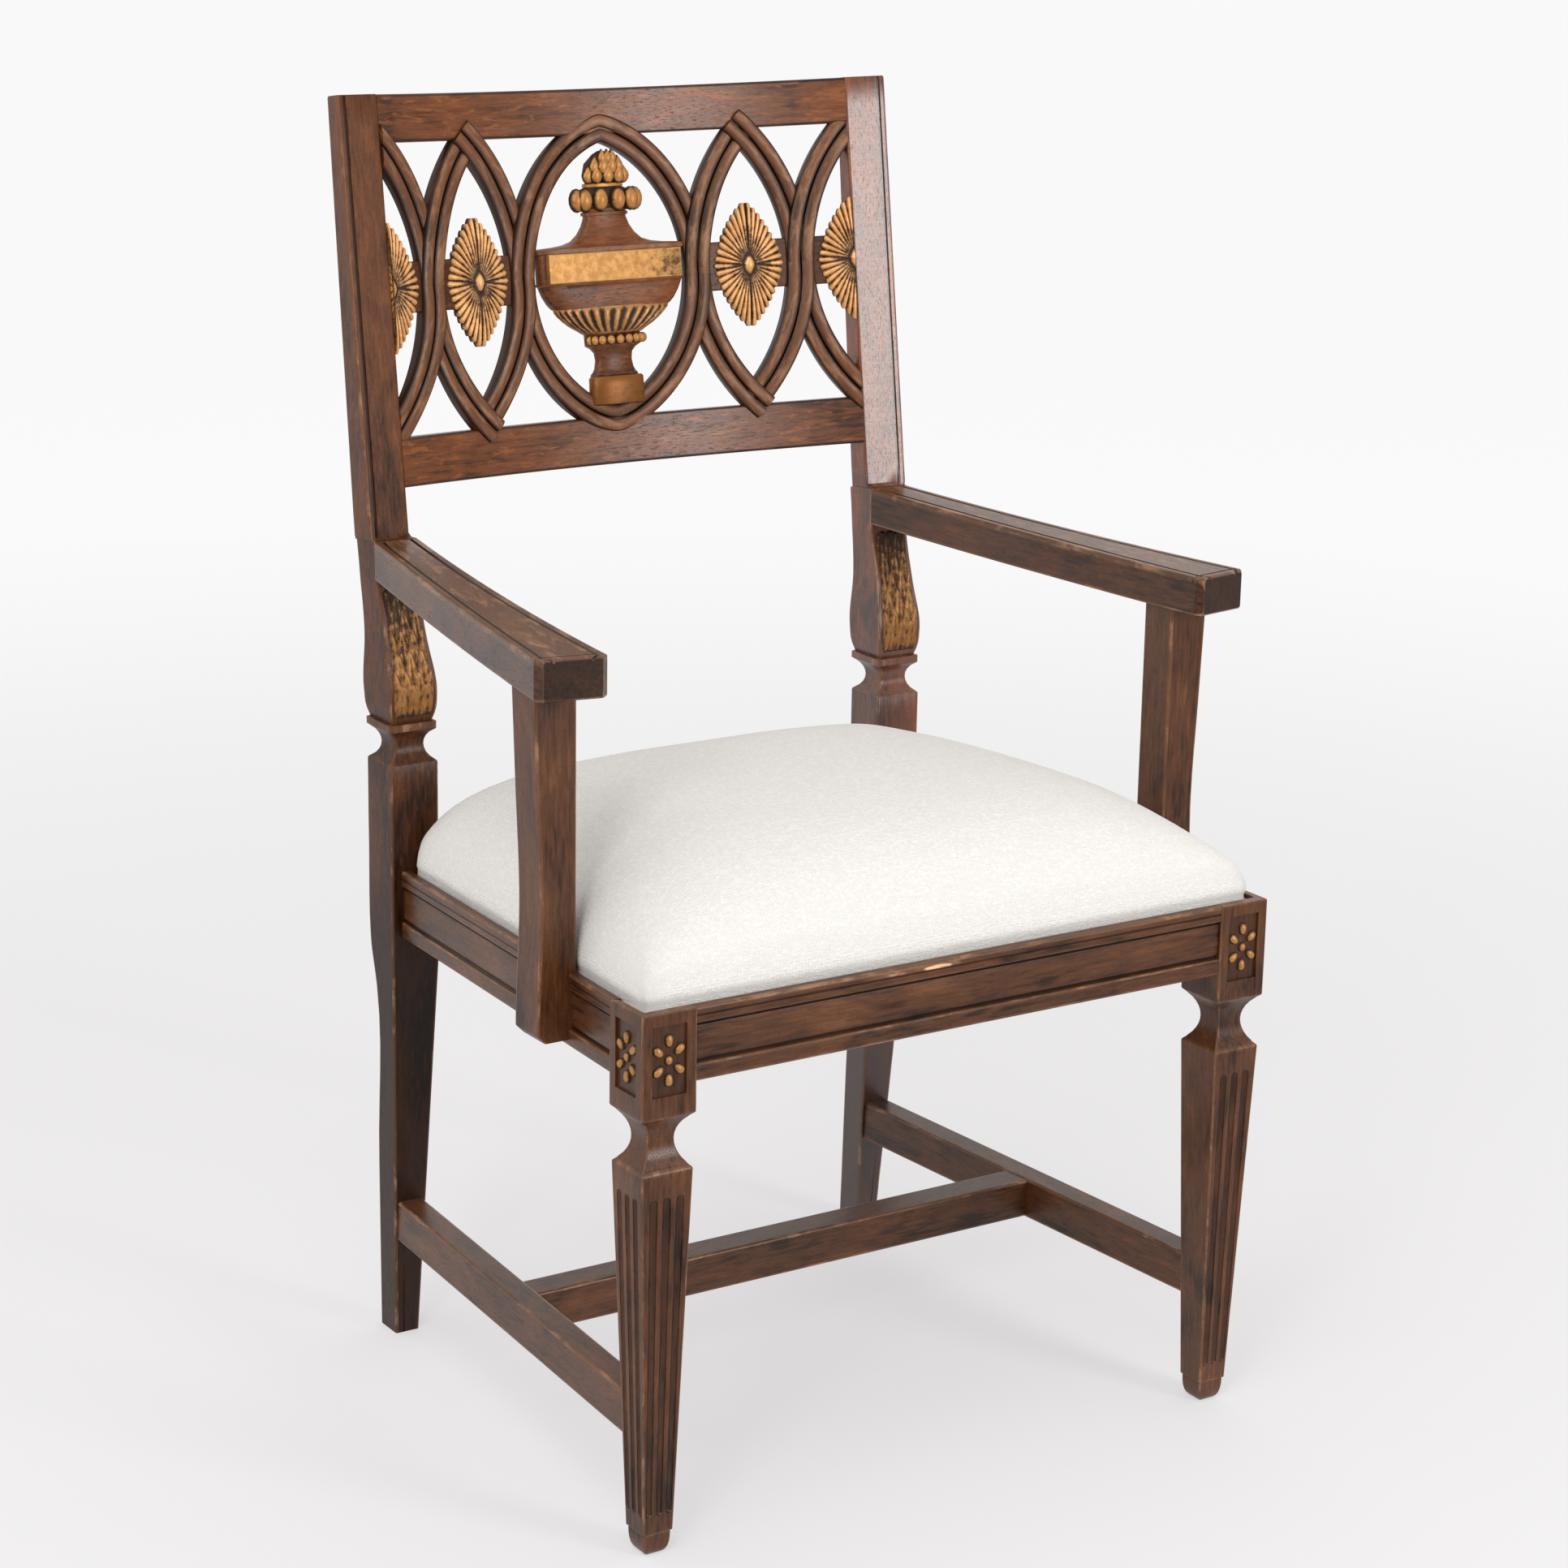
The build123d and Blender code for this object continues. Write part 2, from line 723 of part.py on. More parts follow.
for side, sign in SIDES:
    with BuildPart() as side_seat_rail:
        add(side_rails[side])
        add(arm_post_screws.part, mode=Mode.SUBTRACT)
        add(corner_block_screws.part, mode=Mode.SUBTRACT)
    side_rails[side] = side_seat_rail.part
    finish(side_seat_rail, f"side_seat_rail_{side}")
finish(front_seat_rail, "front_seat_rail")

# Front legs: the same outline crossed on both faces, then sunk panels, flutes and mortises
flute_top_z = rail_top - block_height - neck_drop - 18
flute_bottom_z = foot_height + 14
for side, sign in SIDES:
    with BuildPart() as front_leg:
        with BuildSketch(Plane(origin=(sign * leg_x, leg_y, 0), x_dir=(1, 0, 0), z_dir=(0, -1, 0))):
            add(front_leg_outline())
        extrude(amount=leg_size, both=True)
        with BuildSketch(Plane(origin=(sign * leg_x, leg_y, 0), x_dir=(0, 1, 0), z_dir=(1, 0, 0))):
            add(front_leg_outline())
        extrude(amount=leg_size, both=True, mode=Mode.INTERSECT)
        panel_z = rail_top - panel_margin - panel_height / 2 - 4
        with Locations((sign * leg_x, front_y, panel_z)):
            Box(leg_size - 2 * panel_margin, 2 * panel_depth, panel_height, mode=Mode.SUBTRACT)
        with Locations((sign * front_width / 2, leg_y, panel_z)):
            Box(2 * panel_depth, leg_size - 2 * panel_margin, panel_height, mode=Mode.SUBTRACT)
        taper = (shoulder_size - ankle_size) / 2 / (rail_top - block_height - neck_drop - foot_height)
        face_top = ankle_size / 2 + taper * (flute_top_z - foot_height)
        face_bottom = ankle_size / 2 + taper * (flute_bottom_z - foot_height)
        for index in range(flute_count):
            step = index - (flute_count - 1) / 2
            low, high = step * flute_pitch_bottom, step * flute_pitch_top
            front_low = Vector(sign * leg_x + low, leg_y - face_bottom, flute_bottom_z)
            front_high = Vector(sign * leg_x + high, leg_y - face_top, flute_top_z)
            outer_low = Vector(sign * (leg_x + face_bottom), leg_y + low, flute_bottom_z)
            outer_high = Vector(sign * (leg_x + face_top), leg_y + high, flute_top_z)
            for flute_low, flute_high in ((front_low, front_high), (outer_low, outer_high)):
                run = flute_high - flute_low
                with Locations(Plane(origin=flute_low, z_dir=run)):
                    Cone(
                        flute_radius_bottom,
                        flute_radius_top,
                        run.length,
                        align=(Align.CENTER, Align.CENTER, Align.MIN),
                        mode=Mode.SUBTRACT,
                    )
        for joined in (front_seat_rail.part, side_rails[side], stretchers[side], seat_well.part):
            add(joined, mode=Mode.SUBTRACT)
    finish(front_leg, f"front_leg_{side}")

# Rear legs and stiles: front view crossed with side view, then the toed front face and the mortises
for side, sign in SIDES:
    inner_x = rear_leg_x - rear_leg_width / 2
    outer_x = rear_leg_x + rear_leg_width / 2
    foot_outer = outer_x - rear_foot_tuck
    top_y = front_y + top_setback
    with BuildPart() as rear_leg:
        with BuildSketch(Plane(origin=(0, 0, 0), x_dir=(sign, 0, 0), z_dir=(0, -sign, 0))):
            with BuildLine():
                outer_edge = stile_side(
                    outer_x,
                    (outer_x - 0.5, shoulder_z),
                    rear_leg_x + stile_neck_width / 2,
                    outer_x - 0.5,
                    (outer_x + vase_swell / 2 - 1, vase_z),
                    (outer_x - 2, vase_z + vase_waist_rise),
                )
                inner_edge = stile_side(
                    inner_x,
                    (stile_inner - 2, shoulder_z),
                    rear_leg_x - stile_neck_width / 2,
                    inner_x + 0.5,
                    (inner_x + 1 - vase_swell / 2, vase_z),
                    (inner_x + 3.5, vase_z + vase_waist_rise),
                )
                Polyline(
                    outer_edge[-1] @ 1,
                    (stile_outer, overall_height + 10),
                    (stile_inner, overall_height + 10),
                    (stile_inner, shoulder_z),
                    inner_edge[-1] @ 1,
                )
                Polyline(
                    (inner_x, stile_block_top),
                    (inner_x, knee_z),
                    (foot_outer - rear_foot_width, 0),
                    (foot_outer, 0),
                    (outer_x, knee_z),
                    (outer_x, stile_block_top),
                )
            make_face()
        extrude(amount=overall_height, both=True)
        with BuildSketch(Plane.YZ):
            with BuildLine():
                block_rear = stile_y + rear_leg_depth
                neck_mid = stile_y + rear_leg_depth / 2
                front_edge = stile_side(
                    stile_y,
                    (arm_end_y, shoulder_z - arm_thickness - 4),
                    neck_mid - stile_neck_depth / 2,
                    stile_y + 1.5,
                    (stile_y, vase_z),
                    (stile_y + 9, vase_z + vase_side_rise),
                )
                rear_edge = stile_side(
                    block_rear,
                    (arm_end_y + shoulder_step + stile_depth_bottom, shoulder_z),
                    neck_mid + stile_neck_depth / 2,
                    block_rear + 2,
                    (block_rear + 5, vase_z),
                    (block_rear + 6, vase_z + vase_side_rise),
                )
                Polyline(
                    front_edge[-1] @ 1,
                    (arm_end_y, shoulder_z),
                    (arm_end_y + shoulder_step, shoulder_z),
                    (top_y, overall_height),
                    (top_y + stile_depth_top * cos(rake), overall_height - stile_depth_top * sin(rake)),
                    rear_edge[-1] @ 1,
                )
                Polyline(
                    (stile_y, stile_block_top),
                    (stile_y, knee_z),
                    (stile_y + rear_foot_kick, 0),
                    (stile_y + rear_foot_kick + rear_foot_depth, 0),
                    (block_rear - 8, knee_z - 30),
                    (block_rear - 1, knee_z + 5),
                    (block_rear, stile_block_top),
                )
            make_face()
        extrude(amount=front_width, both=True, mode=Mode.INTERSECT)
        with BuildSketch(back_plan(0)):
            with BuildLine():
                Polyline(
                    (sign * stile_outer, -1),
                    (sign * stile_outer, 0),
                    (sign * stile_inner, stile_toe),
                    (sign * (stile_inner - 2), stile_toe),
                    (sign * (stile_inner - 2), -1),
                    close=True,
                )
            make_face()
        extrude(amount=back_top + 10, mode=Mode.SUBTRACT)
        for joined in (
            side_rails[side],
            rear_seat_rail.part,
            stretchers[side],
            crest_rail.part,
            lower_back_rail.part,
            raw_arms[side],
        ):
            add(joined, mode=Mode.SUBTRACT)
    finish(rear_leg, f"rear_leg_{side}")
finish(rear_seat_rail, "rear_seat_rail")


def seat_outline(inset, height_above_rim):
    """Half widths and run of the drop-in seat's plan, drawn in from the well by the gap and this inset."""
    edge = seat_gap + inset
    return (
        well_front_x - edge,
        well_rear_x - edge,
        well_front_y + edge,
        rail_run - seat_gap / 2 - edge,
        height_above_rim,
    )


# Seat frame bars: front and rear bars run right across, side bars fit between them
front_half, rear_half, bar_front_y, bar_rear_y, _ = seat_outline(0, 0)
bar_turn = (front_half - rear_half) / (bar_rear_y - bar_front_y)


def bar_edge(y):
    """Half width of the seat frame at this distance along the seat."""
    return front_half - bar_turn * (y - bar_front_y)


bar_spans = (
    ("seat_frame_front", bar_front_y, bar_front_y + seat_bar_width),
    ("seat_frame_rear", bar_rear_y - seat_bar_width, bar_rear_y),
)
for bar_name, near_y, far_y in bar_spans:
    with BuildPart() as seat_bar:
        with BuildSketch(seat_plane(seat_lift_clear)):
            with BuildLine():
                Polyline(
                    (-bar_edge(near_y), near_y),
                    (bar_edge(near_y), near_y),
                    (bar_edge(far_y), far_y),
                    (-bar_edge(far_y), far_y),
                    close=True,
                )
            make_face()
        extrude(amount=seat_bar_thickness)
    finish(seat_bar, bar_name)

side_near = bar_front_y + seat_bar_width
side_far = bar_rear_y - seat_bar_width
for side, sign in SIDES:
    with BuildPart() as seat_bar:
        with BuildSketch(seat_plane(seat_lift_clear)):
            with BuildLine():
                Polyline(
                    (sign * bar_edge(side_near), side_near),
                    (sign * bar_edge(side_far), side_far),
                    (sign * (bar_edge(side_far) - seat_bar_width), side_far),
                    (sign * (bar_edge(side_near) - seat_bar_width), side_near),
                    close=True,
                )
            make_face()
        extrude(amount=seat_bar_thickness)
    finish(seat_bar, f"seat_frame_{side}")

# Webbing: lengthwise straps first, crosswise straps on top of them
webbing_level = seat_lift_clear + seat_bar_thickness
strap_pitch = (2 * rear_half - 2 * seat_bar_width) / webbing_count
cross_pitch = (side_far - side_near) / webbing_count
with BuildPart() as seat_webbing:
    with BuildSketch(seat_plane(webbing_level)):
        with Locations((0, (bar_front_y + bar_rear_y) / 2)):
            with GridLocations(strap_pitch, 1, webbing_count, 1):
                Rectangle(webbing_width, bar_rear_y - bar_front_y - 30)
    extrude(amount=webbing_thickness)
    with BuildSketch(seat_plane(webbing_level + webbing_thickness)):
        with Locations((0, (bar_front_y + bar_rear_y) / 2)):
            with GridLocations(1, cross_pitch, 1, webbing_count):
                Rectangle(2 * rear_half - 30, webbing_width)
    extrude(amount=webbing_thickness)
finish(seat_webbing, "seat_webbing")

# Seat pad: a crowned loft of rounded plans, fullest towards the rear. Each plan has its share of the crown, its insets
# at the front, sides and rear, its corner radius and its draw-in between corners
pad_level = webbing_level + 2 * webbing_thickness + seat_lift_clear
pad_rings = (
    (0, 0.5, 0.5, 0.5, 16, 2),
    (0.21, 0, 0, 0, 18, 2),
    (0.42, 2, 2, 1, 22, 3),
    (0.6, 12, 9, 4, 30, 3),
    (0.76, 34, 24, 10, 38, 3),
    (0.88, 68, 48, 21, 42, 3),
    (0.96, 110, 80, 38, 40, 2),
    (1, 158, 118, 60, 30, 1),
)
with BuildPart() as seat_pad:
    for share, front_inset, side_inset, rear_inset, corner, draw_in in pad_rings:
        near_y, far_y = bar_front_y + front_inset, bar_rear_y - rear_inset
        near_half, far_half = bar_edge(near_y) - side_inset, bar_edge(far_y) - side_inset
        with BuildSketch(seat_plane(pad_level + share * pad_crown)):
            with BuildLine():
                corners = ((-near_half, near_y), (near_half, near_y), (far_half, far_y), (-far_half, far_y))
                middles = (
                    (0, near_y + draw_in),
                    ((near_half + far_half) / 2 - draw_in, (near_y + far_y) / 2),
                    (0, far_y - draw_in),
                    (-(near_half + far_half) / 2 + draw_in, (near_y + far_y) / 2),
                )
                for index in range(4):
                    ThreePointArc(corners[index], middles[index], corners[(index + 1) % 4])
            make_face()
            fillet(vertices(), radius=corner)
    loft()
finish(seat_pad, "seat_pad")

# Dust cover under the seat frame, and the tacks that hold it
near_half, far_half, near_y, far_y, _ = seat_outline(leg_size - rim + cover_clear, 0)
with BuildPart() as seat_dust_cover:
    with BuildSketch(seat_plane(seat_lift_clear - cover_thickness)):
        with BuildLine():
            Polyline(
                (-near_half, near_y), (near_half, near_y), (far_half, far_y), (-far_half, far_y), close=True
            )
        make_face()
    extrude(amount=cover_thickness)
finish(seat_dust_cover, "seat_dust_cover")

with BuildPart() as dust_cover_tacks:
    with BuildSketch(seat_plane(seat_lift_clear - cover_thickness - tack_height)):
        for tack_y in (near_y + tack_diameter, far_y - tack_diameter):
            with Locations((0, tack_y)):
                with GridLocations((2 * far_half - 30) / 4, 1, 5, 1):
                    Circle(tack_diameter / 2)
    extrude(amount=tack_height)
finish(dust_cover_tacks, "dust_cover_tacks")
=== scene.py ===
from math import atan2, cos, hypot, pi, radians, sin, sqrt

import bpy
import numpy as np
from bpy.props import FloatProperty, FloatVectorProperty, IntProperty, PointerProperty
from bpy.types import Operator, Panel, PropertyGroup
from mathutils import Matrix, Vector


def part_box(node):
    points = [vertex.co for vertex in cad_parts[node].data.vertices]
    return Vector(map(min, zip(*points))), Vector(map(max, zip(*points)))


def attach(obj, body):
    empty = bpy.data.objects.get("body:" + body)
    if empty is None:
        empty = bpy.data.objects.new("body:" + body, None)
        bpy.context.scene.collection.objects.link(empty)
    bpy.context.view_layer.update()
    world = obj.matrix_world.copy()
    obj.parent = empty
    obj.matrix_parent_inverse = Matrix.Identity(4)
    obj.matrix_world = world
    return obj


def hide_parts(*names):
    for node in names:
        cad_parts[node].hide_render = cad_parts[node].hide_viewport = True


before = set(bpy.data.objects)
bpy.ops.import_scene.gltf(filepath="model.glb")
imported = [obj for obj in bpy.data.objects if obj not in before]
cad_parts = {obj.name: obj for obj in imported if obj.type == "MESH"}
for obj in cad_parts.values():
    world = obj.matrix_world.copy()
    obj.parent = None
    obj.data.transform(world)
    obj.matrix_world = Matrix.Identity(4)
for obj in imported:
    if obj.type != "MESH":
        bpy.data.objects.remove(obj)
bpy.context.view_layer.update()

bl_info = {
    "name": "Open-arm chair",
    "version": (1, 0, 0),
    "blender": (4, 5, 0),
    "location": "3D View > Sidebar > Chair",
    "description": "Carved oak armchair with an urn back and a drop-in seat, dressed over its frame",
    "category": "Object",
}


def cad_box(node):
    """Lowest and highest corner of a frame node, in millimetres."""
    low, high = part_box(node)
    return np.array(low) * 1000, np.array(high) * 1000


# Places read from the frame, in millimetres: x to the right, the chair faces -y, z up
LEG_LOW, LEG_HIGH = cad_box("front_leg_right")
FRONT_Y = LEG_LOW[1]
LEG_X = (LEG_LOW[0] + LEG_HIGH[0]) / 2
LEG_Y = (LEG_LOW[1] + LEG_HIGH[1]) / 2
LEG_HALF = (LEG_HIGH[0] - LEG_LOW[0]) / 2
RAIL_TOP = LEG_HIGH[2]
STILE_TOP = cad_box("rear_leg_right")[1][2]
PAD_LOW, PAD_HIGH = cad_box("seat_pad")

# Sizes that the frame was made with
BACK_TENON = 14.0
RAIL_TALL, WELL_DEEP, WELL_WALL = 53.0, 22.0, 8.0
FACE_SETBACK = 0.8
STILE_SETBACK, TOP_SETBACK = 413.0, 485.0
STILE_STEP, BACK_STEP = 22.0, 5.0
STILE_WIDE, STILE_THICK, STILE_TOP_THICK = 35.0, 27.0, 17.0
SHOULDER_Z = 637.0
SEAT_FALL, PAD_SUNK = 13.0, 13.5
RAIL_REAR_X, PAD_REAR_GAP = 232.5, 9.6
BOW, TOE = 35.0, 5.0
CREST_TALL, LOW_RAIL = 35.5, (36.6, 73.6)
LATTICE_SHIFT, OVAL_SHARE, VESICA_LAP = 1.9, 0.379, 0.75
OVAL_PAST, VESICA_SHORT = 3.3, 2.5
PATERA_HALF_WIDE, PATERA_HALF_TALL = 27.8, 48.6
PANEL_SINK = 2.0
BACK_REACH = 260.0
BAND_BACK, INTERLACE_WAVE = -7.0, 156.0
URN_SINK = 3.5

# Places worked out from them in the same way as the frame's own
RAIL_BOTTOM = RAIL_TOP - RAIL_TALL
WELL_FLOOR = RAIL_TOP - WELL_DEEP
RAIL_FRONT_X, RAIL_FRONT_Y = LEG_HIGH[0] - FACE_SETBACK, LEG_HIGH[1]
STILE_Y = FRONT_Y + STILE_SETBACK
ARM_END_Y = STILE_Y + STILE_STEP
BACK_FOOT_Y = ARM_END_Y + BACK_STEP
RAIL_TURN = (RAIL_FRONT_X - RAIL_REAR_X) / (STILE_Y - RAIL_FRONT_Y)
RAKE = atan2(FRONT_Y + TOP_SETBACK - BACK_FOOT_Y, STILE_TOP - SHOULDER_Z)
STILE_INNER = cad_box("lower_back_rail")[1][0] - BACK_TENON
STILE_OUTER = STILE_INNER + STILE_WIDE
BOW_RADIUS = (STILE_INNER**2 + BOW**2) / (2 * BOW)
BACK_TOP = (STILE_TOP - SHOULDER_Z) / cos(RAKE)
CREST_BOTTOM = BACK_TOP - CREST_TALL
LATTICE_RISE = (CREST_BOTTOM + LOW_RAIL[1]) / 2 + LATTICE_SHIFT
PANEL_HALF = (CREST_BOTTOM - LOW_RAIL[1]) / 2
OVAL_HALF = OVAL_SHARE * STILE_INNER
VESICA_HALF = (STILE_INNER + VESICA_LAP - OVAL_HALF) / 3
VESICA_X, HALF_VESICA_X = OVAL_HALF + VESICA_HALF, OVAL_HALF + 3 * VESICA_HALF
URN_FOOT_Z = 631.8

# Softened edges, scratched lines and the cushion's form
EDGE_STEPS, EDGE_KEEP = 3, 1.0
ARM_EDGE = 1.6
LINE_DEPTH, LINE_HALF, LINE_SLOPE = 1.3, 0.8, 0.7
CROWN_PLACE, CROWN_HEIGHT, CROWN_FOOT = 0.685, 83.0, 9.0
CROWN_OVERHANG = 3.0
SKIRT = 9.0
FIT = 0.3
EVENING = 40
FILLING_FRAMES = 20
MM = 0.001
UP = np.array((0.0, 0.0, 1.0))
FACES = ((1, 0), (0, 1), (-1, 0), (0, -1))
SIDES = (("left", -1), ("right", 1))


# Surfaces


class Skin:
    """A closed surface: points in millimetres, quads, end polygons, and what the finishes read at each point.

    wear is 1 on a rubbed edge, which it lightens, partly as a painted highlight, and on gilding it marks the
    high places for a painted highlight; recess is 1 in a carved hollow, darkened as painted shade, and also
    marks whole parts that stand in shade, darkened as painted shade; grain runs along the wood first.
    """

    def __init__(self, points, quads, caps=(), wear_and_highlight=0.0, grain=None, recess_and_shade=0.0):
        count = len(points)
        self.points = np.asarray(points, float).reshape(count, 3)
        self.quads = np.asarray(quads, int).reshape(-1, 4)
        self.caps = [np.asarray(cap, int) for cap in caps]
        self.wear_and_highlight = np.broadcast_to(np.asarray(wear_and_highlight, float), (count,)).copy()
        self.recess_and_shade = np.broadcast_to(np.asarray(recess_and_shade, float), (count,)).copy()
        self.grain = self.points.copy() if grain is None else np.asarray(grain, float).reshape(count, 3)
        self.face_outwards()

    def face_outwards(self):
        """Turn every face over if the volume under the faces, summed corner by corner, is negative."""
        p = self.points - self.points.mean(0)
        a, b, c, d = (p[self.quads[:, k]] for k in range(4))
        volume = (np.cross(a, b) * c).sum() + (np.cross(a, c) * d).sum()
        for cap in self.caps:
            volume += (np.cross(p[cap[1:-1]], p[cap[2:]]) * p[cap[0]]).sum()
        if volume < 0:
            self.quads = self.quads[:, ::-1]
            self.caps = [cap[::-1] for cap in self.caps]


def joined(skins):
    """Several skins as one, their numbers following each other."""
    starts = np.cumsum([0] + [len(s.points) for s in skins])
    whole = Skin.__new__(Skin)
    for part in ("points", "wear_and_highlight", "recess_and_shade", "grain"):
        setattr(whole, part, np.concatenate([getattr(s, part) for s in skins]))
    whole.quads = np.concatenate([s.quads + k for s, k in zip(skins, starts)])
    whole.caps = [cap + k for s, k in zip(skins, starts) for cap in s.caps]
    return whole


def ring_quads(rows, count, looped=False):
    """Quads between neighbouring rings of a stack, each ring closed on itself."""
    index = np.arange(rows * count).reshape(rows, count)
    low = index if looped else index[:-1]
    high = np.roll(index, -1, 0) if looped else index[1:]
    quads = np.stack([low, np.roll(low, -1, 1), np.roll(high, -1, 1), high], -1)
    return quads.reshape(-1, 4), index


def tube(rings, wear_and_highlight=0.0, grain=None, recess_and_shade=0.0, looped=False):
    """A stack of closed rings (rows, points, 3) skinned with quads and filled at both ends."""
    rows, count = rings.shape[:2]
    quads, index = ring_quads(rows, count, looped)
    caps = () if looped else (index[0][::-1], index[-1])
    spread = [np.broadcast_to(np.asarray(v, float), (rows, count)).ravel() for v in (wear_and_highlight, recess_and_shade)]
    grain = None if grain is None else np.asarray(grain).reshape(-1, 3)
    return Skin(rings.reshape(-1, 3), quads, caps, spread[0], grain, spread[1])


def section(radius, lines=()):
    """Rounded rectangle as rows of (u share, u offset, v share, v offset, wear, recess).

    A point is share times the half size plus offset. Sides are walked anticlockwise from +u, and
    lines cuts a fine scratched line: (side, which end of it, how far in). wear lightens the rounded corners,
    partly as a painted highlight, and recess darkens the line's floor as painted shade.
    """
    rows = []
    keep = radius + EDGE_KEEP
    floor, brink = (-LINE_HALF, LINE_HALF), (-LINE_HALF - LINE_SLOPE, LINE_HALF + LINE_SLOPE)
    for side, (nx, ny) in enumerate(FACES):
        tx, ty = -ny, nx
        marks = [(-1, keep, 0, 0), (-0.4, 0, 0, 0), (0.4, 0, 0, 0), (1, -keep, 0, 0)]
        for line_side, end, inset in lines:
            if line_side == side:
                marks += [(end, -end * (inset + step), -LINE_DEPTH, 1) for step in floor]
                marks += [(end, -end * (inset + step), 0, 0) for step in brink]
        marks.sort(key=lambda mark: 17 * mark[0] + mark[1])
        rows += [(nx + a * tx, n * nx + d * tx, ny + a * ty, n * ny + d * ty, 0, r) for a, d, n, r in marks]
        start = atan2(ny, nx)
        for angle in np.linspace(0, pi / 2, EDGE_STEPS + 1):
            cx, cy = nx + tx, ny + ty
            du = radius * (cos(start + angle) - cx)
            dv = radius * (sin(start + angle) - cy)
            rows.append((cx, du, cy, dv, 1, 0))
    return np.array(rows, float)


def placed(shape, half_u, half_v):
    """Section points (stations, points) for half sizes given at each station."""
    half_u, half_v = np.atleast_1d(half_u)[:, None], np.atleast_1d(half_v)[:, None]
    return shape[:, 0] * half_u + shape[:, 1], shape[:, 2] * half_v + shape[:, 3]


def sweep(path, across, up, half_u, half_v, shape, end_wear_and_highlight=0.6):
    """The section carried along a path: each ring is path + u across + v up. Grain runs along the path."""
    path = np.asarray(path, float)
    count = len(path)
    again = np.concatenate([[0], np.arange(count), [count - 1]])
    across = np.broadcast_to(np.asarray(across, float), (count, 3))[again]
    up = np.broadcast_to(np.asarray(up, float), (count, 3))[again]
    inset = np.zeros(count + 2)
    inset[[0, -1]] = 1.5
    path = path[again]
    half_u, half_v = (np.broadcast_to(h, count)[again] - inset for h in (half_u, half_v))
    u, v = placed(shape, half_u, half_v)
    rings = path[:, None] + u[..., None] * across[:, None] + v[..., None] * up[:, None]
    along = np.concatenate([[0], np.cumsum(np.linalg.norm(np.diff(path, axis=0), axis=1))])
    grain = np.stack([np.broadcast_to(along[:, None], u.shape), u, v], -1)
    wear_and_highlight = np.broadcast_to(shape[:, 4], u.shape).copy()
    wear_and_highlight[[1, -2]] = np.maximum(wear_and_highlight[[1, -2]], end_wear_and_highlight)
    wear_and_highlight[[0, -1]] = 0
    return tube(rings, wear_and_highlight, grain, np.broadcast_to(shape[:, 5], u.shape))


def smooth_through(knots, values, at):
    """Smooth curve through knots: cubic Hermite pieces with slopes from the neighbours on each side."""
    knots, values, at = (np.asarray(k, float) for k in (knots, values, at))
    slopes = np.gradient(values, knots)
    k = np.clip(np.searchsorted(knots, at, side="right") - 1, 0, len(knots) - 2)
    span = knots[k + 1] - knots[k]
    t = np.clip((at - knots[k]) / span, 0, 1)
    blend = t * t * (3 - 2 * t)
    bend = t * (1 - t)
    chord = values[k] + (values[k + 1] - values[k]) * blend
    return chord + span * bend * ((1 - t) * slopes[k] - t * slopes[k + 1])


def arc_through(start, middle, end, at):
    """Second coordinate of the circle through three points, read at first coordinates."""
    (x1, y1), (x2, y2), (x3, y3) = start, middle, end
    a = np.array([[x2 - x1, y2 - y1], [x3 - x1, y3 - y1]]) * 2
    b = np.array([x2**2 - x1**2 + y2**2 - y1**2, x3**2 - x1**2 + y3**2 - y1**2])
    cx, cy = np.linalg.solve(a, b)
    radius = hypot(x1 - cx, y1 - cy)
    rise = np.sqrt(np.maximum(radius**2 - (np.asarray(at, float) - cx) ** 2, 0))
    return cy + np.sign(y2 - cy) * rise


def stations(*columns):
    """Rows of a stack from its columns, each a number or an array as long as the others."""
    return np.stack(np.broadcast_arrays(*(np.asarray(column, float) for column in columns)), -1)


def boss(centre, out, along, radius_along, radius_across, height, rings=4, spokes=12, point=0.0):
    """Half egg standing on a face: out is the face normal, along the long way; point narrows its far end."""
    centre, out, along = (np.asarray(v, float) for v in (centre, out, along))
    out, along = out / np.linalg.norm(out), along / np.linalg.norm(along)
    across = np.cross(out, along)
    lift = np.linspace(0, pi / 2, rings + 1)[:, None]
    turn = np.linspace(0, 2 * pi, spokes, endpoint=False)[None]
    reach = np.cos(lift) + 0.02
    a = radius_along * reach * np.cos(turn)
    b = radius_across * reach * np.sin(turn) * (1 - point * np.maximum(np.cos(turn), 0))
    h = height * np.sin(lift) + 0 * turn
    stack = centre + a[..., None] * along + b[..., None] * across + h[..., None] * out
    # Painted highlight on its top, painted shade round its foot.
    return tube(stack, recess_and_shade=1.1 * np.cos(lift) ** 4 + 0 * turn, wear_and_highlight=np.sin(lift) ** 3 + 0 * turn)


def on_back(x, rise, lift):
    """A place on the bowed, raked back: x across, rise up the rake, lift out towards the sitter.

    The back is part of a cylinder, so lift runs along its normal, then the whole leans by the rake.
    """
    x, rise, lift = np.broadcast_arrays(*(np.asarray(v, float) for v in (x, rise, lift)))
    root = np.sqrt(BOW_RADIUS**2 - np.clip(x, -BACK_REACH, BACK_REACH) ** 2)
    lean = -x / root
    size = np.sqrt(1 + lean**2)
    flat_x = x + lift * lean / size
    depth = TOE + BOW - (BOW_RADIUS - root) - lift / size
    y = BACK_FOOT_Y + depth * cos(RAKE) + rise * sin(RAKE)
    z = SHOULDER_Z - depth * sin(RAKE) + rise * cos(RAKE)
    return np.stack([flat_x, y, z], -1)


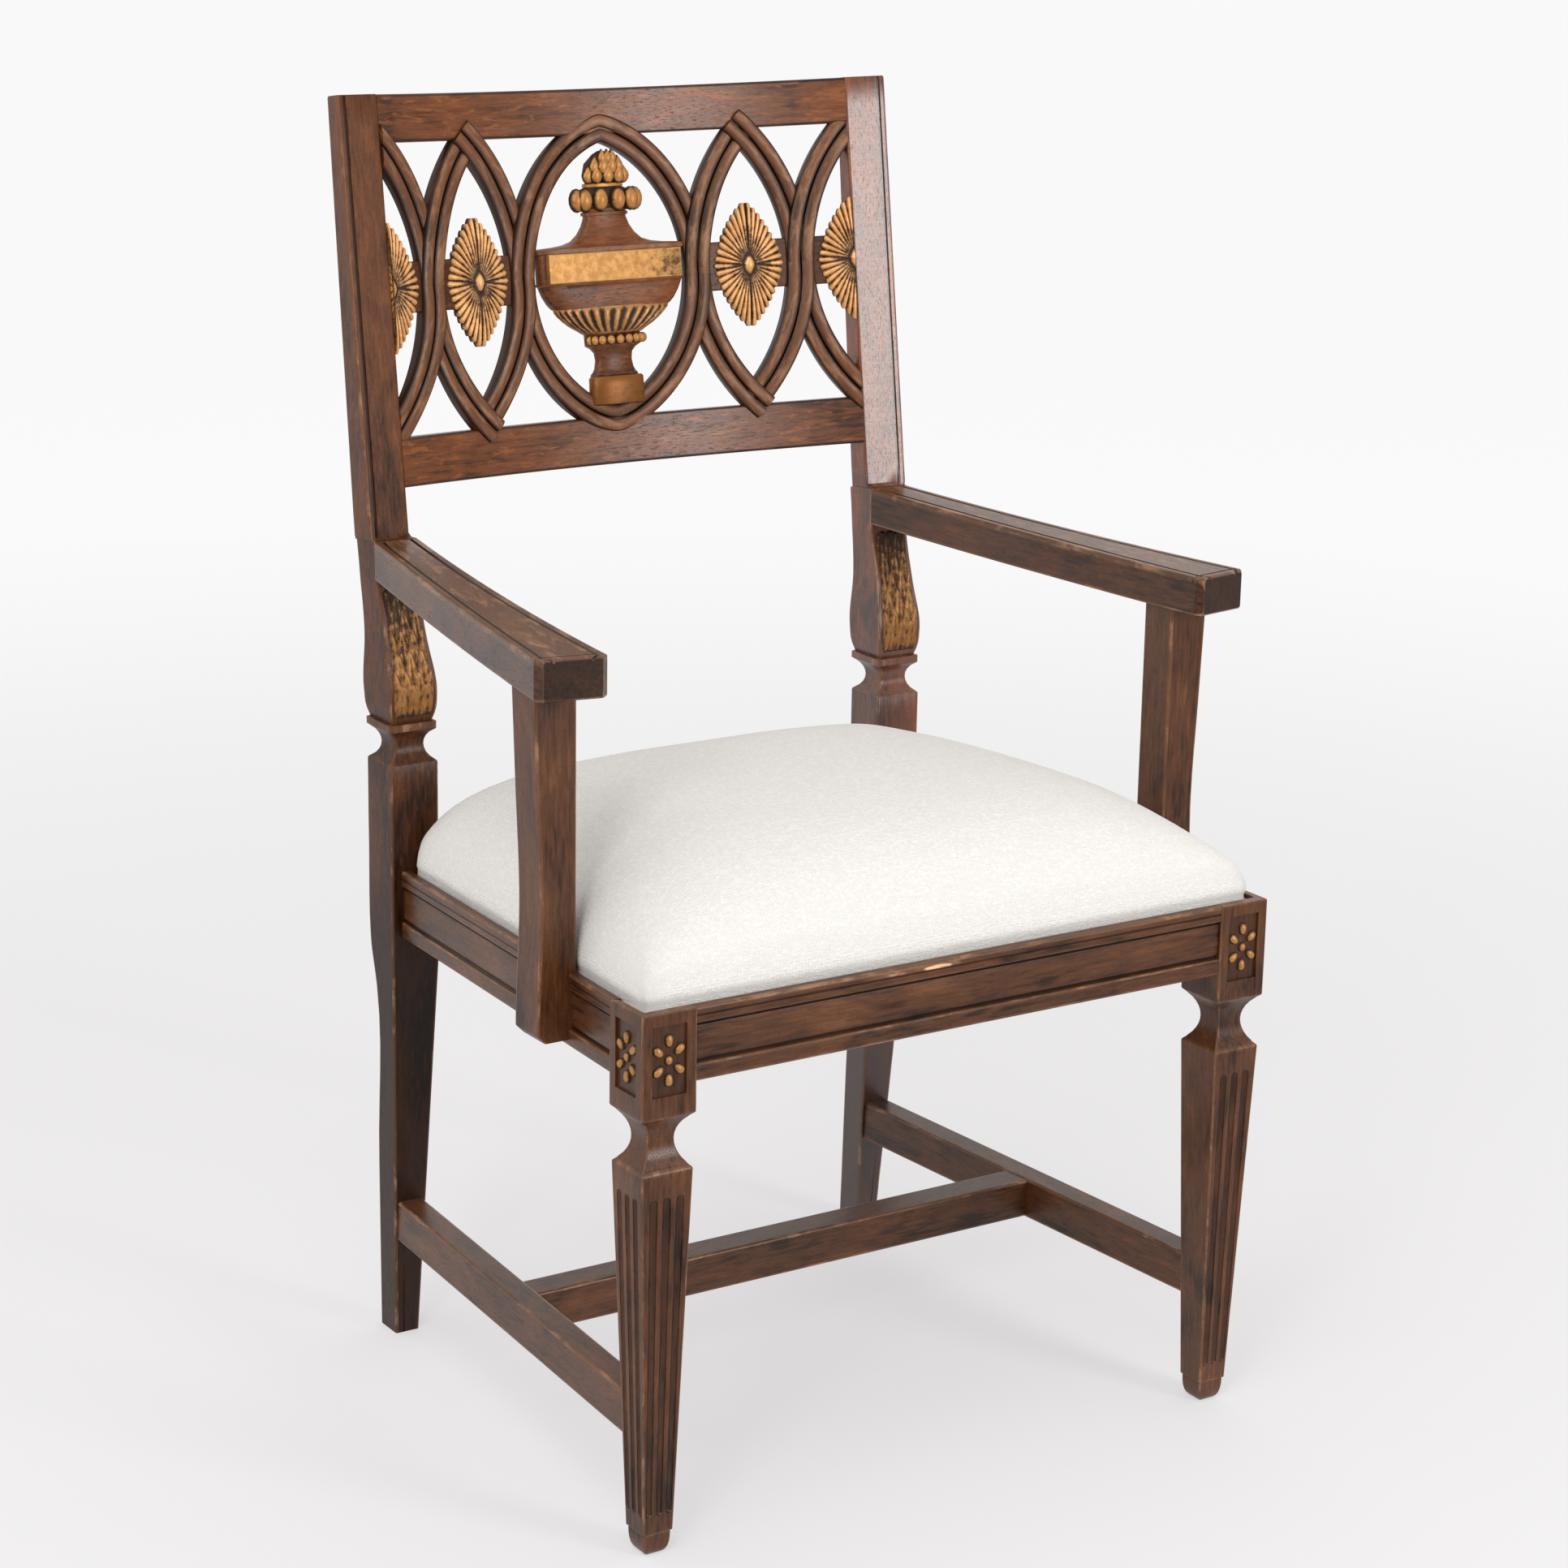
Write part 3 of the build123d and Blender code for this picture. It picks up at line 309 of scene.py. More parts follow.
def mesh_of(name, skin):
    """A mesh in metres from a skin's points, quads and end polygons."""
    mesh = bpy.data.meshes.new(name)
    loops = np.concatenate([skin.quads.ravel(), *skin.caps]).astype(np.int32)
    sizes = np.concatenate([np.full(len(skin.quads), 4), [len(cap) for cap in skin.caps]]).astype(np.int32)
    starts = np.concatenate([[0], np.cumsum(sizes)[:-1]]).astype(np.int32)
    mesh.vertices.add(len(skin.points))
    mesh.vertices.foreach_set("co", (skin.points * MM).astype(np.float32).ravel())
    mesh.loops.add(len(loops))
    mesh.loops.foreach_set("vertex_index", loops)
    mesh.polygons.add(len(sizes))
    mesh.polygons.foreach_set("loop_start", starts)
    mesh.update(calc_edges=True)
    mesh.validate()
    return mesh


def read_rows(holder, field="co"):
    """Rows of x, y and z read from a mesh's vertices or normals."""
    flat = np.empty(len(holder) * 3, np.float32)
    holder.foreach_get(field, flat)
    return flat.reshape(-1, 3)


def put_piece(name, skin, finish, stands_for=(), body="frame", crease=38):
    """Make a skin into a mesh object at the origin, give it its finish, and set it riding on its body."""
    mesh = mesh_of(name, skin)
    mesh.polygons.foreach_set("use_smooth", np.ones(len(mesh.polygons), bool))
    mesh.set_sharp_from_angle(angle=radians(crease))
    other_board = np.array([517.0, 61.0, 37.0]) * len(bpy.data.meshes)
    for label, kind, values, field in (
        ("wear_and_highlight", "FLOAT", skin.wear_and_highlight, "value"),
        ("recess_and_shade", "FLOAT", skin.recess_and_shade, "value"),
        ("grain", "FLOAT_VECTOR", (skin.grain + other_board) * MM, "vector"),
    ):
        mesh.attributes.new(label, kind, "POINT").data.foreach_set(field, values.astype(np.float32).ravel())
    mesh.materials.append(finish)
    piece = bpy.data.objects.new(name, mesh)
    bpy.context.scene.collection.objects.link(piece)
    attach(piece, body)
    if stands_for:
        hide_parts(*stands_for)
    return piece


# Finishes


def new_group(name, inputs, outputs):
    """An empty shader node group with these named sockets: (name, kind, default)."""
    group = bpy.data.node_groups.new(name, "ShaderNodeTree")
    for label, kind, default in inputs:
        socket = group.interface.new_socket(label, in_out="INPUT", socket_type=kind)
        if default is not None:
            socket.default_value = default
    for label, kind in outputs:
        group.interface.new_socket(label, in_out="OUTPUT", socket_type=kind)
    return group, Tree(group)


class Tree:
    """Short ways to add and join nodes in a tree."""

    def __init__(self, tree):
        self.tree = tree

    def node(self, kind, **settings):
        """A new node with these settings."""
        made = self.tree.nodes.new(kind)
        for key, value in settings.items():
            setattr(made, key, value)
        return made

    def join(self, source, target):
        """Link an output to an input."""
        self.tree.links.new(source, target)

    def feed(self, value, socket):
        """Link a socket, or set a constant."""
        if isinstance(value, bpy.types.NodeSocket):
            self.join(value, socket)
        else:
            socket.default_value = value

    def math(self, operation, a, b=0.0, clamp=False):
        """One sum of two values."""
        made = self.node("ShaderNodeMath", operation=operation, use_clamp=clamp)
        self.feed(a, made.inputs[0])
        self.feed(b, made.inputs[1])
        return made.outputs[0]

    def scale(self, vector, factors):
        """A place stretched by a factor along each axis."""
        made = self.node("ShaderNodeVectorMath", operation="MULTIPLY")
        self.join(vector, made.inputs[0])
        self.feed(factors, made.inputs[1])
        return made.outputs[0]

    def noise(self, vector, scale=1.0, detail=4.0, rough=0.55, warp=0.0):
        """Cloudy noise between 0 and 1."""
        made = self.node("ShaderNodeTexNoise")
        self.join(vector, made.inputs["Vector"])
        self.feed(scale, made.inputs["Scale"])
        self.feed(detail, made.inputs["Detail"])
        self.feed(rough, made.inputs["Roughness"])
        self.feed(warp, made.inputs["Distortion"])
        return made.outputs[0]

    def ramp(self, value, low, high, to_low=0.0, to_high=1.0):
        """Value mapped smoothly from low..high to to_low..to_high."""
        made = self.node("ShaderNodeMapRange", interpolation_type="SMOOTHSTEP")
        self.feed(value, made.inputs["Value"])
        for label, number in (("From Min", low), ("From Max", high), ("To Min", to_low), ("To Max", to_high)):
            self.feed(number, made.inputs[label])
        return made.outputs[0]

    def mix(self, amount, a, b):
        """Colour a going over to colour b."""
        made = self.node("ShaderNodeMix", data_type="RGBA")
        self.feed(amount, made.inputs[0])
        self.feed(a, made.inputs[6])
        self.feed(b, made.inputs[7])
        return made.outputs[2]

    def bump(self, height, strength, distance):
        """A normal leaning with a height."""
        made = self.node("ShaderNodeBump")
        self.feed(strength, made.inputs["Strength"])
        self.feed(distance, made.inputs["Distance"])
        self.join(height, made.inputs["Height"])
        return made.outputs[0]

    def use(self, group, **values):
        """A node group placed with these values; its outputs."""
        made = self.node("ShaderNodeGroup", node_tree=group)
        for label, value in values.items():
            self.feed(value, made.inputs[label])
        return made.outputs


def wood_figure_group():
    """Broad patches, short streaks and flecks along the grain, open pores, and fine cracks across the grain.

    Each is noise stretched along or across the grain; the cracks are where their noise passes its middle.
    """
    colour, number, vector = "NodeSocketColor", "NodeSocketFloat", "NodeSocketVector"
    group, t = new_group(
        "Wood figure",
        (
            ("Grain", vector, None),
            ("Dark", colour, (0.05, 0.02, 0.01, 1)),
            ("Middle", colour, (0.1, 0.05, 0.02, 1)),
            ("Light", colour, (0.2, 0.1, 0.05, 1)),
            ("Fleck", number, 0.5),
            ("Crack", number, 0.3),
        ),
        (("Color", colour), ("Streak", number), ("Pore", number), ("Height", number)),
    )
    given, out = t.node("NodeGroupInput").outputs, t.node("NodeGroupOutput").inputs
    broad = t.noise(t.scale(given["Grain"], (11, 30, 30)), 1.0, 3.0, 0.55, 0.8)
    streak = t.noise(t.scale(given["Grain"], (42, 380, 380)), 1.0, 4.0, 0.6, 0.25)
    fleck = t.noise(t.scale(given["Grain"], (64, 250, 160)), 1.0, 3.0, 0.55, 0.4)
    pore = t.ramp(t.noise(t.scale(given["Grain"], (150, 1500, 1500)), 1.0, 2.0, 0.5), 0.56, 0.7)
    crack = t.noise(t.scale(given["Grain"], (420, 36, 36)), 1.0, 2.0, 0.5, 0.3)
    crack = t.ramp(t.math("ABSOLUTE", t.math("SUBTRACT", crack, 0.5)), 0.0, 0.02, 1.0, 0.0)
    crack = t.math("MULTIPLY", crack, given["Crack"])
    tone = t.math("ADD", t.math("MULTIPLY", streak, 0.45), t.math("MULTIPLY", broad, 0.55))
    body = t.mix(t.ramp(tone, 0.34, 0.52), given["Dark"], given["Middle"])
    body = t.mix(t.ramp(tone, 0.5, 0.68), body, given["Light"])
    body = t.mix(t.math("MULTIPLY", t.ramp(fleck, 0.55, 0.68), given["Fleck"]), body, given["Light"])
    body = t.mix(t.math("MULTIPLY", pore, 0.5), body, given["Dark"])
    t.join(t.mix(crack, body, given["Dark"]), out["Color"])
    t.join(streak, out["Streak"])
    t.join(pore, out["Pore"])
    height = t.math("SUBTRACT", t.math("MULTIPLY", streak, 0.5), pore)
    t.join(t.math("SUBTRACT", height, crack), out["Height"])
    return group


def edge_wear_and_highlight_group():
    """Lighter edges from the wear painted at the points: thin all along as a painted highlight, and fuller
    where noise is high, as rubbed wear.

    Where the wear is strongest, the same noise leaves patches bare.
    """
    number, vector = "NodeSocketFloat", "NodeSocketVector"
    group, t = new_group(
        "Edge wear",
        (("Wear", number, 0.0), ("Place", vector, None), ("Amount", number, 0.5)),
        (("Mask", number), ("Bare", number)),
    )
    given, out = t.node("NodeGroupInput").outputs, t.node("NodeGroupOutput").inputs
    patch = t.noise(t.scale(given["Place"], (36, 110, 110)), 1.0, 5.0, 0.65, 0.4)
    # A third of the mark lies along every edge as a painted highlight; the noisy rest is rubbing.
    share = t.math("ADD", t.ramp(patch, 0.5, 0.66), 0.3)
    edge = t.math("MULTIPLY", t.ramp(given["Wear"], 0.45, 1.0), given["Amount"])
    t.join(t.math("MULTIPLY", edge, share, clamp=True), out["Mask"])
    t.join(t.math("MULTIPLY", t.ramp(given["Wear"], 1.3, 1.8), t.ramp(patch, 0.34, 0.46)), out["Bare"])
    return group


def weave_group():
    """Plain weave with uneven nubs: two sets of threads crossing, each lifted and dipped in turn.

    A thread's height is the size of a sine across it, and the product of both says which set lies on top.
    """
    number, vector = "NodeSocketFloat", "NodeSocketVector"
    group, t = new_group(
        "Cloth weave",
        (("Place", vector, None), ("Pitch", number, 0.0025), ("Nub", number, 0.5)),
        (("Height", number), ("Fleck", number)),
    )
    given, out = t.node("NodeGroupInput").outputs, t.node("NodeGroupOutput").inputs
    wobble = t.node("ShaderNodeTexNoise")
    t.join(given["Place"], wobble.inputs["Vector"])
    t.feed(160.0, wobble.inputs["Scale"])
    shift = t.node("ShaderNodeVectorMath", operation="MULTIPLY_ADD")
    t.join(wobble.outputs["Color"], shift.inputs[0])
    shift.inputs[1].default_value = (0.0012, 0.0012, 0.0012)
    t.join(given["Place"], shift.inputs[2])
    axes = t.node("ShaderNodeSeparateXYZ")
    t.join(shift.outputs[0], axes.inputs[0])
    per = t.math("DIVIDE", pi, given["Pitch"])
    sines = [t.math("SINE", t.math("MULTIPLY", axes.outputs[k], per)) for k in range(2)]
    crossing = t.math("MULTIPLY", sines[0], sines[1])
    ribs = [t.math("ABSOLUTE", s) for s in sines]
    over = t.ramp(crossing, -0.25, 0.25)
    under = t.math("SUBTRACT", 1.0, over)
    height = t.math("ADD", t.math("MULTIPLY", ribs[0], over), t.math("MULTIPLY", ribs[1], under))
    nub = t.noise(t.scale(given["Place"], (300, 260, 280)), 1.0, 3.0, 0.6)
    slub = t.noise(t.scale(given["Place"], (110, 260, 180)), 1.0, 3.0, 0.6)
    nub = t.math("ADD", t.ramp(nub, 0.35, 0.7), t.ramp(slub, 0.5, 0.75, 0.0, 0.6))
    height = t.math("ADD", t.math("MULTIPLY", height, 0.5), t.math("MULTIPLY", nub, given["Nub"]))
    t.join(height, out["Height"])
    mottle = t.math("MULTIPLY", t.noise(given["Place"], 90.0, 3.0, 0.6), 0.4)
    fine = t.math("MULTIPLY", t.noise(t.scale(given["Place"], (300, 240, 260)), 1.0, 4.0, 0.65), 0.6)
    t.join(t.math("ADD", mottle, fine), out["Fleck"])
    return group


def shared_groups():
    """The node groups that several finishes use, made once."""
    makers = {"Wood figure": wood_figure_group, "Edge wear": edge_wear_and_highlight_group, "Cloth weave": weave_group}
    return {name: bpy.data.node_groups.get(name) or make() for name, make in makers.items()}


def new_finish(name):
    """An empty material with its Principled shader: (material, tree, shader inputs)."""
    made = bpy.data.materials.new(name)
    made.use_nodes = True
    made.node_tree.nodes.clear()
    t = Tree(made.node_tree)
    shader = t.node("ShaderNodeBsdfPrincipled")
    t.join(shader.outputs[0], t.node("ShaderNodeOutputMaterial").inputs[0])
    return made, t, shader.inputs


def rgb(colour):
    """A colour with full cover."""
    return (*colour, 1.0)


def painted(t, label):
    """An attribute painted on a piece: the fac for a number, the vector for a place."""
    made = t.node("ShaderNodeAttribute", attribute_name=label)
    return made.outputs["Vector"] if label == "grain" else made.outputs["Fac"]


def oak_finish(name, looks, tone, fleck, crack=0.25, gloss=0.34, shine=0.36, relief=1.0):
    """Dark stained oak: figured colour, painted shade and dirt, lighter edges, satin polish broken by open
    pores.

    The dark mark mixes in painted shade and grime; the edges are lightened by rubbing and a painted
    highlight.
    """
    made, t, put = new_finish(name)
    groups = shared_groups()
    place, worn, hollow = (painted(t, label) for label in ("grain", "wear_and_highlight", "recess_and_shade"))
    stains = {"Dark": looks.oak_dark, "Middle": looks.oak_middle, "Light": looks.oak_light}
    shades = {label: rgb([c * k for c, k in zip(stain, tone)]) for label, stain in stains.items()}
    figure = t.use(groups["Wood figure"], Grain=place, Fleck=fleck, Crack=crack, **shades)
    # Painted shade and grime: a near-black mixed in by the dark mark, in hollows and over parts that stand in
    # shade.
    dirt_and_shade = rgb([c * 0.3 for c in looks.oak_dark])
    colour = t.mix(t.math("MULTIPLY", hollow, 0.85, clamp=True), figure["Color"], dirt_and_shade)
    # Lighter edges: rubbed wear, and along every edge a painted highlight; bare wood where rubbed most.
    wear_and_highlight = t.use(groups["Edge wear"], Wear=worn, Place=place, Amount=looks.wear_and_highlight)
    colour = t.mix(wear_and_highlight["Mask"], colour, rgb(looks.worn_and_highlit_edge))
    t.join(t.mix(wear_and_highlight["Bare"], colour, rgb(looks.bare_wood)), put["Base Color"])
    rough = t.math("ADD", t.math("MULTIPLY", figure["Streak"], 0.16 * relief), gloss - 0.08 * relief)
    t.join(t.math("ADD", rough, t.math("MULTIPLY", figure["Pore"], 0.16 * relief)), put["Roughness"])
    t.join(t.bump(figure["Height"], 0.16 * relief, 0.0003), put["Normal"])
    put["IOR"].default_value = 1.5
    put["Specular IOR Level"].default_value = shine
    return made


def gilt_finish(name, looks, tone, rubbed=0.0, pale=1.0):
    """Old gilding: warm metal leaf, rubbed to brown wood in patches.

    The high places are lightened as a painted highlight, the hollows darkened as painted shade.
    """
    made, t, put = new_finish(name)
    place, hollow, high = (painted(t, label) for label in ("grain", "recess_and_shade", "wear_and_highlight"))
    patch = t.noise(place, 150.0, 5.0, 0.62)
    speck = t.noise(place, 620.0, 3.0, 0.6)
    deep, light = np.array(looks.gilt_deep), np.array(looks.gilt_light)
    light, deep = (rgb(np.minimum(1, shade * tone)) for shade in (deep + (light - deep) * pale, deep))
    # Painted shade: the gilding gives way to dark brown in the hollows and shaded parts; the noisy patches
    # are rubbing.
    gone = t.math("ADD", t.math("MULTIPLY", hollow, 0.95), t.ramp(patch, 0.46, 0.74, rubbed, rubbed + 0.3))
    gone = t.math("SUBTRACT", gone, t.math("MULTIPLY", high, 0.25))
    gone = t.ramp(t.math("ADD", gone, t.math("MULTIPLY", t.math("SUBTRACT", speck, 0.5), 0.7)), 0.22, 0.85)
    leaf = t.mix(t.ramp(patch, 0.36, 0.6, 0.15, 0.85), light, deep)
    # Painted highlight: the high places take the lightest leaf.
    leaf = t.mix(t.math("MULTIPLY", high, 0.6, clamp=True), leaf, light)
    t.join(t.mix(gone, leaf, rgb(looks.gilt_hollow)), put["Base Color"])
    t.join(t.math("MULTIPLY", t.math("SUBTRACT", 1.0, gone), 0.35), put["Metallic"])
    t.join(t.ramp(gone, 0.0, 1.0, 0.4, 0.6), put["Roughness"])
    put["Specular IOR Level"].default_value = 0.3
    t.join(t.bump(speck, 0.25, 0.0004), put["Normal"])
    return made


def cloth_finish(name, light, dark, pitch, nub, depth, laid=False):
    """Woven cloth: threads shaded by their height, uneven flecks and a soft sheen.

    A laid cloth follows the place painted on its piece, any other the axes of its object.
    """
    made, t, put = new_finish(name)
    place = painted(t, "grain") if laid else t.node("ShaderNodeTexCoord").outputs["Object"]
    weave = t.use(shared_groups()["Cloth weave"], Place=place, Pitch=pitch, Nub=nub)
    shade = t.mix(t.ramp(weave["Height"], 0.0, 1.2), rgb(dark), rgb(light))
    t.join(t.mix(t.ramp(weave["Fleck"], 0.44, 0.62, 0.0, 0.36), shade, rgb(dark)), put["Base Color"])
    put["Roughness"].default_value = 0.92
    put["Sheen Weight"].default_value = 0.15
    put["Sheen Roughness"].default_value = 0.5
    put["Specular IOR Level"].default_value = 0.25
    t.join(t.bump(weave["Height"], 0.5, depth), put["Normal"])
    return made


def steel_finish(name):
    """Dull screw and tack steel, brushed and a little stained."""
    made, t, put = new_finish(name)
    place = t.node("ShaderNodeTexCoord").outputs["Object"]
    stain = t.noise(place, 180.0, 4.0, 0.6)
    t.join(t.mix(t.ramp(stain, 0.4, 0.7), (0.34, 0.33, 0.32, 1), (0.12, 0.09, 0.07, 1)), put["Base Color"])
    put["Metallic"].default_value = 1.0
    t.join(t.ramp(stain, 0.3, 0.7, 0.28, 0.5), put["Roughness"])
    t.join(t.bump(t.noise(place, 900.0, 2.0), 0.15, 0.0003), put["Normal"])
    return made


def beech_finish(name):
    """Plain pale beech for the hidden frame, with short darker ticks along the grain."""
    made, t, put = new_finish(name)
    place = t.node("ShaderNodeTexCoord").outputs["Object"]
    figure = t.use(
        shared_groups()["Wood figure"], Grain=place, Fleck=0.3, Crack=0.0,
        Dark=(0.28, 0.17, 0.09, 1), Middle=(0.42, 0.28, 0.16, 1), Light=(0.52, 0.37, 0.23, 1),
    )
    t.join(figure["Color"], put["Base Color"])
    t.join(t.ramp(figure["Pore"], 0.0, 1.0, 0.5, 0.7), put["Roughness"])
    t.join(t.bump(figure["Height"], 0.15, 0.0003), put["Normal"])
    return made


OAKS = {
    "dark_oak": dict(tone=(1.12, 0.96, 0.76), fleck=0.15),
    "arm_oak": dict(tone=(0.92, 0.75, 0.56), fleck=0.3, shine=0.45),
    "plain_stile_oak": dict(tone=(1.3, 0.97, 0.65), fleck=0.5, crack=0.2, gloss=0.38, shine=0.25),
    # Lighter copy of the stile oak for the right stile: a painted reflection of the bright light it faces.
    "stile_oak": dict(tone=(2.1, 1.35, 0.92), fleck=0.4, crack=0.55, gloss=0.3, shine=0.75, relief=0.5),
    "back_oak": dict(tone=(1.9, 1.4, 0.85), fleck=0.8, crack=0.15, gloss=0.33, shine=0.4),
    "lattice_oak": dict(tone=(1.75, 1.28, 0.78), fleck=0.6, crack=0.15, gloss=0.38, shine=0.3),
}
GILDINGS = {
    "carved_gilt": dict(tone=(1.05, 1.05, 1.05)),
    "patera_gilt": dict(tone=(1.72, 1.95, 2.7)),
    "bright_gilt": dict(tone=(1.0, 1.1, 1.05)),
    "rubbed_gilt": dict(tone=(0.75, 0.75, 0.75), rubbed=0.2),
    "petal_gilt": dict(tone=(0.85, 0.85, 0.85), rubbed=0.1, pale=1.3),
    "gadroon_gilt": dict(tone=(1.0, 1.05, 1.3), rubbed=0.25),
    "plinth_gilt": dict(tone=(0.66, 0.62, 0.5), rubbed=0.15, pale=0.0),
}
HIDDEN_CLOTHS = {
    "jute_webbing": dict(
        light=(0.42, 0.33, 0.2), dark=(0.2, 0.14, 0.07), pitch=0.0035, nub=0.3, depth=0.0008
    ),
    "black_lining": dict(
        light=(0.06, 0.06, 0.065), dark=(0.025, 0.025, 0.03), pitch=0.0016, nub=0.2, depth=0.0004
    ),
}


def finish_named(name):
    """One of the chair's finishes, made the first time it is asked for."""
    made = bpy.data.materials.get(name)
    if made:
        return made
    looks = bpy.context.scene.chair_finish
    if name in OAKS:
        return oak_finish(name, looks, **OAKS[name])
    if name in GILDINGS:
        return gilt_finish(name, looks, **GILDINGS[name])
    if name in HIDDEN_CLOTHS:
        return cloth_finish(name, **HIDDEN_CLOTHS[name])
    if name == "seat_weave":
        pitch = bpy.context.scene.chair_seat.thread_pitch
        return cloth_finish(name, looks.cloth_light, looks.cloth_dark, pitch, 0.6, 0.0012, laid=True)
    return {"frame_beech": beech_finish, "screw_steel": steel_finish}[name](name)


# What a user can change


class ChairFinish(PropertyGroup):
    """Colours and wear of the chair's finishes."""

    oak_dark: FloatVectorProperty(
        name="Oak, dark", description="Darkest streaks and pores of the oak", subtype="COLOR",
        default=(0.016, 0.006, 0.0024), min=0, max=1,
    )
    oak_middle: FloatVectorProperty(
        name="Oak, middle", description="Main colour of the stained oak", subtype="COLOR",
        default=(0.072, 0.029, 0.012), min=0, max=1,
    )
    oak_light: FloatVectorProperty(
        name="Oak, light", description="Lightest streaks and flecks of the oak", subtype="COLOR",
        default=(0.125, 0.053, 0.022), min=0, max=1,
    )
    # Colour of the lighter edges: rubbed wood, and a painted highlight along every edge.
    worn_and_highlit_edge: FloatVectorProperty(
        name="Worn edge", description="Bare wood where the edges are rubbed", subtype="COLOR",
        default=(0.3, 0.155, 0.08), min=0, max=1,
    )
    bare_wood: FloatVectorProperty(
        name="Bare wood", description="Bright bare wood where the front rail is rubbed most", subtype="COLOR",
        default=(0.74, 0.46, 0.26), min=0, max=1,
    )
    # Strength of the lighter edges, rubbed wear and painted highlight together.
    wear_and_highlight: FloatProperty(
        name="Wear", description="How much of the edges is rubbed bare", subtype="FACTOR",
        default=0.6, min=0, max=1,
    )
    # Leaf colour; the high places lean further towards it as a painted highlight.
    gilt_light: FloatVectorProperty(
        name="Gilding, light", description="Bright leaf on the high places", subtype="COLOR",
        default=(0.46, 0.225, 0.07), min=0, max=1,
    )
    gilt_deep: FloatVectorProperty(
        name="Gilding, deep", description="Deeper leaf in the broad places", subtype="COLOR",
        default=(0.3, 0.112, 0.024), min=0, max=1,
    )
    # Where the gilding is gone: rubbed patches, and the hollows and shaded parts as painted shade.
    gilt_hollow: FloatVectorProperty(
        name="Gilding, hollows", description="Brown wood and dirt left in the hollows", subtype="COLOR",
        default=(0.03, 0.012, 0.0045), min=0, max=1,
    )
    # Raised threads take the light colour, low threads the dark one as painted shade in the weave; flecks
    # too.
    cloth_light: FloatVectorProperty(
        name="Seat cloth, light", description="Raised threads of the seat cover", subtype="COLOR",
        default=(0.745, 0.735, 0.715), min=0, max=1,
    )
    cloth_dark: FloatVectorProperty(
        name="Seat cloth, dark", description="Threads lying low in the seat cover", subtype="COLOR",
        default=(0.645, 0.628, 0.604), min=0, max=1,
    )
    # The floor's glow colour near the chair: painted light that also lightens the chair's shadow; it glows
    # paler far away.
    floor: FloatVectorProperty(
        name="Floor", description="Colour of the studio floor", subtype="COLOR",
        default=(0.505, 0.497, 0.505), min=0, max=1,
    )


class ChairCarving(PropertyGroup):
    """Sizes of the carved ornament."""

    flute_depth: FloatProperty(
        name="Flute depth", description="Depth of the front legs' flutes as a share of their radius",
        subtype="FACTOR", default=0.8, min=0.1, max=1,
    )
    band_width: FloatProperty(
        name="Band width", description="Width of the lattice bands", subtype="DISTANCE",
        default=0.022, min=0.01, max=0.03,
    )
    interlace: FloatProperty(
        name="Interlace", description="How far the bands rise and dip where they cross", subtype="DISTANCE",
        default=0.0017, min=0, max=0.004,
    )
    patera_flutes: IntProperty(
        name="Patera flutes", description="Flutes round each patera", default=38, min=8, max=48,
    )
    gadroons: IntProperty(
        name="Gadroons", description="Upright lobes round the urn's bowl", default=15, min=5, max=21,
    )
    rosette_petals: IntProperty(
        name="Rosette petals", description="Petals in each leg rosette", default=6, min=4, max=10,
    )


class ChairSeat(PropertyGroup):
    """The stuffed seat."""

    pressure: FloatProperty(
        name="Stuffing pressure", description="Pressure that fills the cover", default=4.0, min=0, max=20,
    )
    swell: FloatProperty(
        name="Largest swell", description="Furthest the cover may move as it fills", subtype="DISTANCE",
        default=0.008, min=0, max=0.04,
    )
    thread_pitch: FloatProperty(
        name="Thread pitch", description="Distance between the cover's threads", subtype="DISTANCE",
        default=0.0026, min=0.001, max=0.01,
    )


# Shapes of the pieces


def leg_stations(low_end, high_end):
    """Front leg from its foot up as rows of (height, half width, wear); flutes run between the two ends.

    wear lightens the edges of the mouldings, partly as a painted highlight.
    """
    cove = np.linspace(289.5, 323.5, 11)
    cove_half = arc_through((289.5, 17.25), (306.5, 10.75), (323.5, 18.5), cove)
    ends = np.array([0, 0.25, 0.7, 1.3, 2.0, 2.8])
    fluted = np.concatenate([[21], low_end + ends, np.linspace(36, 262, 30), high_end - ends[::-1], [280]])
    taper = np.interp(fluted, (17.6, 286), (12, 20.25))
    block = np.array([334, 340.9, 341.0, 341.5, 350, 366, 377.9, 378.0, 385, 390.5, 391.0, 391.1, 397])
    foot = [(0, 5.6, 0.5), (0.5, 6.9, 0.6), (2, 8.4, 0.6), (4.5, 9.6, 0.5), (8, 10.4, 0.3), (12, 10.8, 0.2)]
    foot += [(16, 10.9, 0.2), (16.6, 10.6, 0), (17, 11.3, 0.8), (17.7, 12, 0.8)]
    return np.concatenate([
        foot, stations(fluted, taper, 0),
        [(285.6, 20.25, 0.7), (286.6, 19.9, 0.9), (288.8, 17.6, 0.5)], stations(cove, cove_half, 0),
        [(324, 18.9, 0.6), (326, 21.2, 0.9), (327, LEG_HALF, 0.6)], stations(block, LEG_HALF, 0),
        [(399.2, LEG_HALF, 0.7), (400, LEG_HALF - 0.7, 0.8)],
    ])


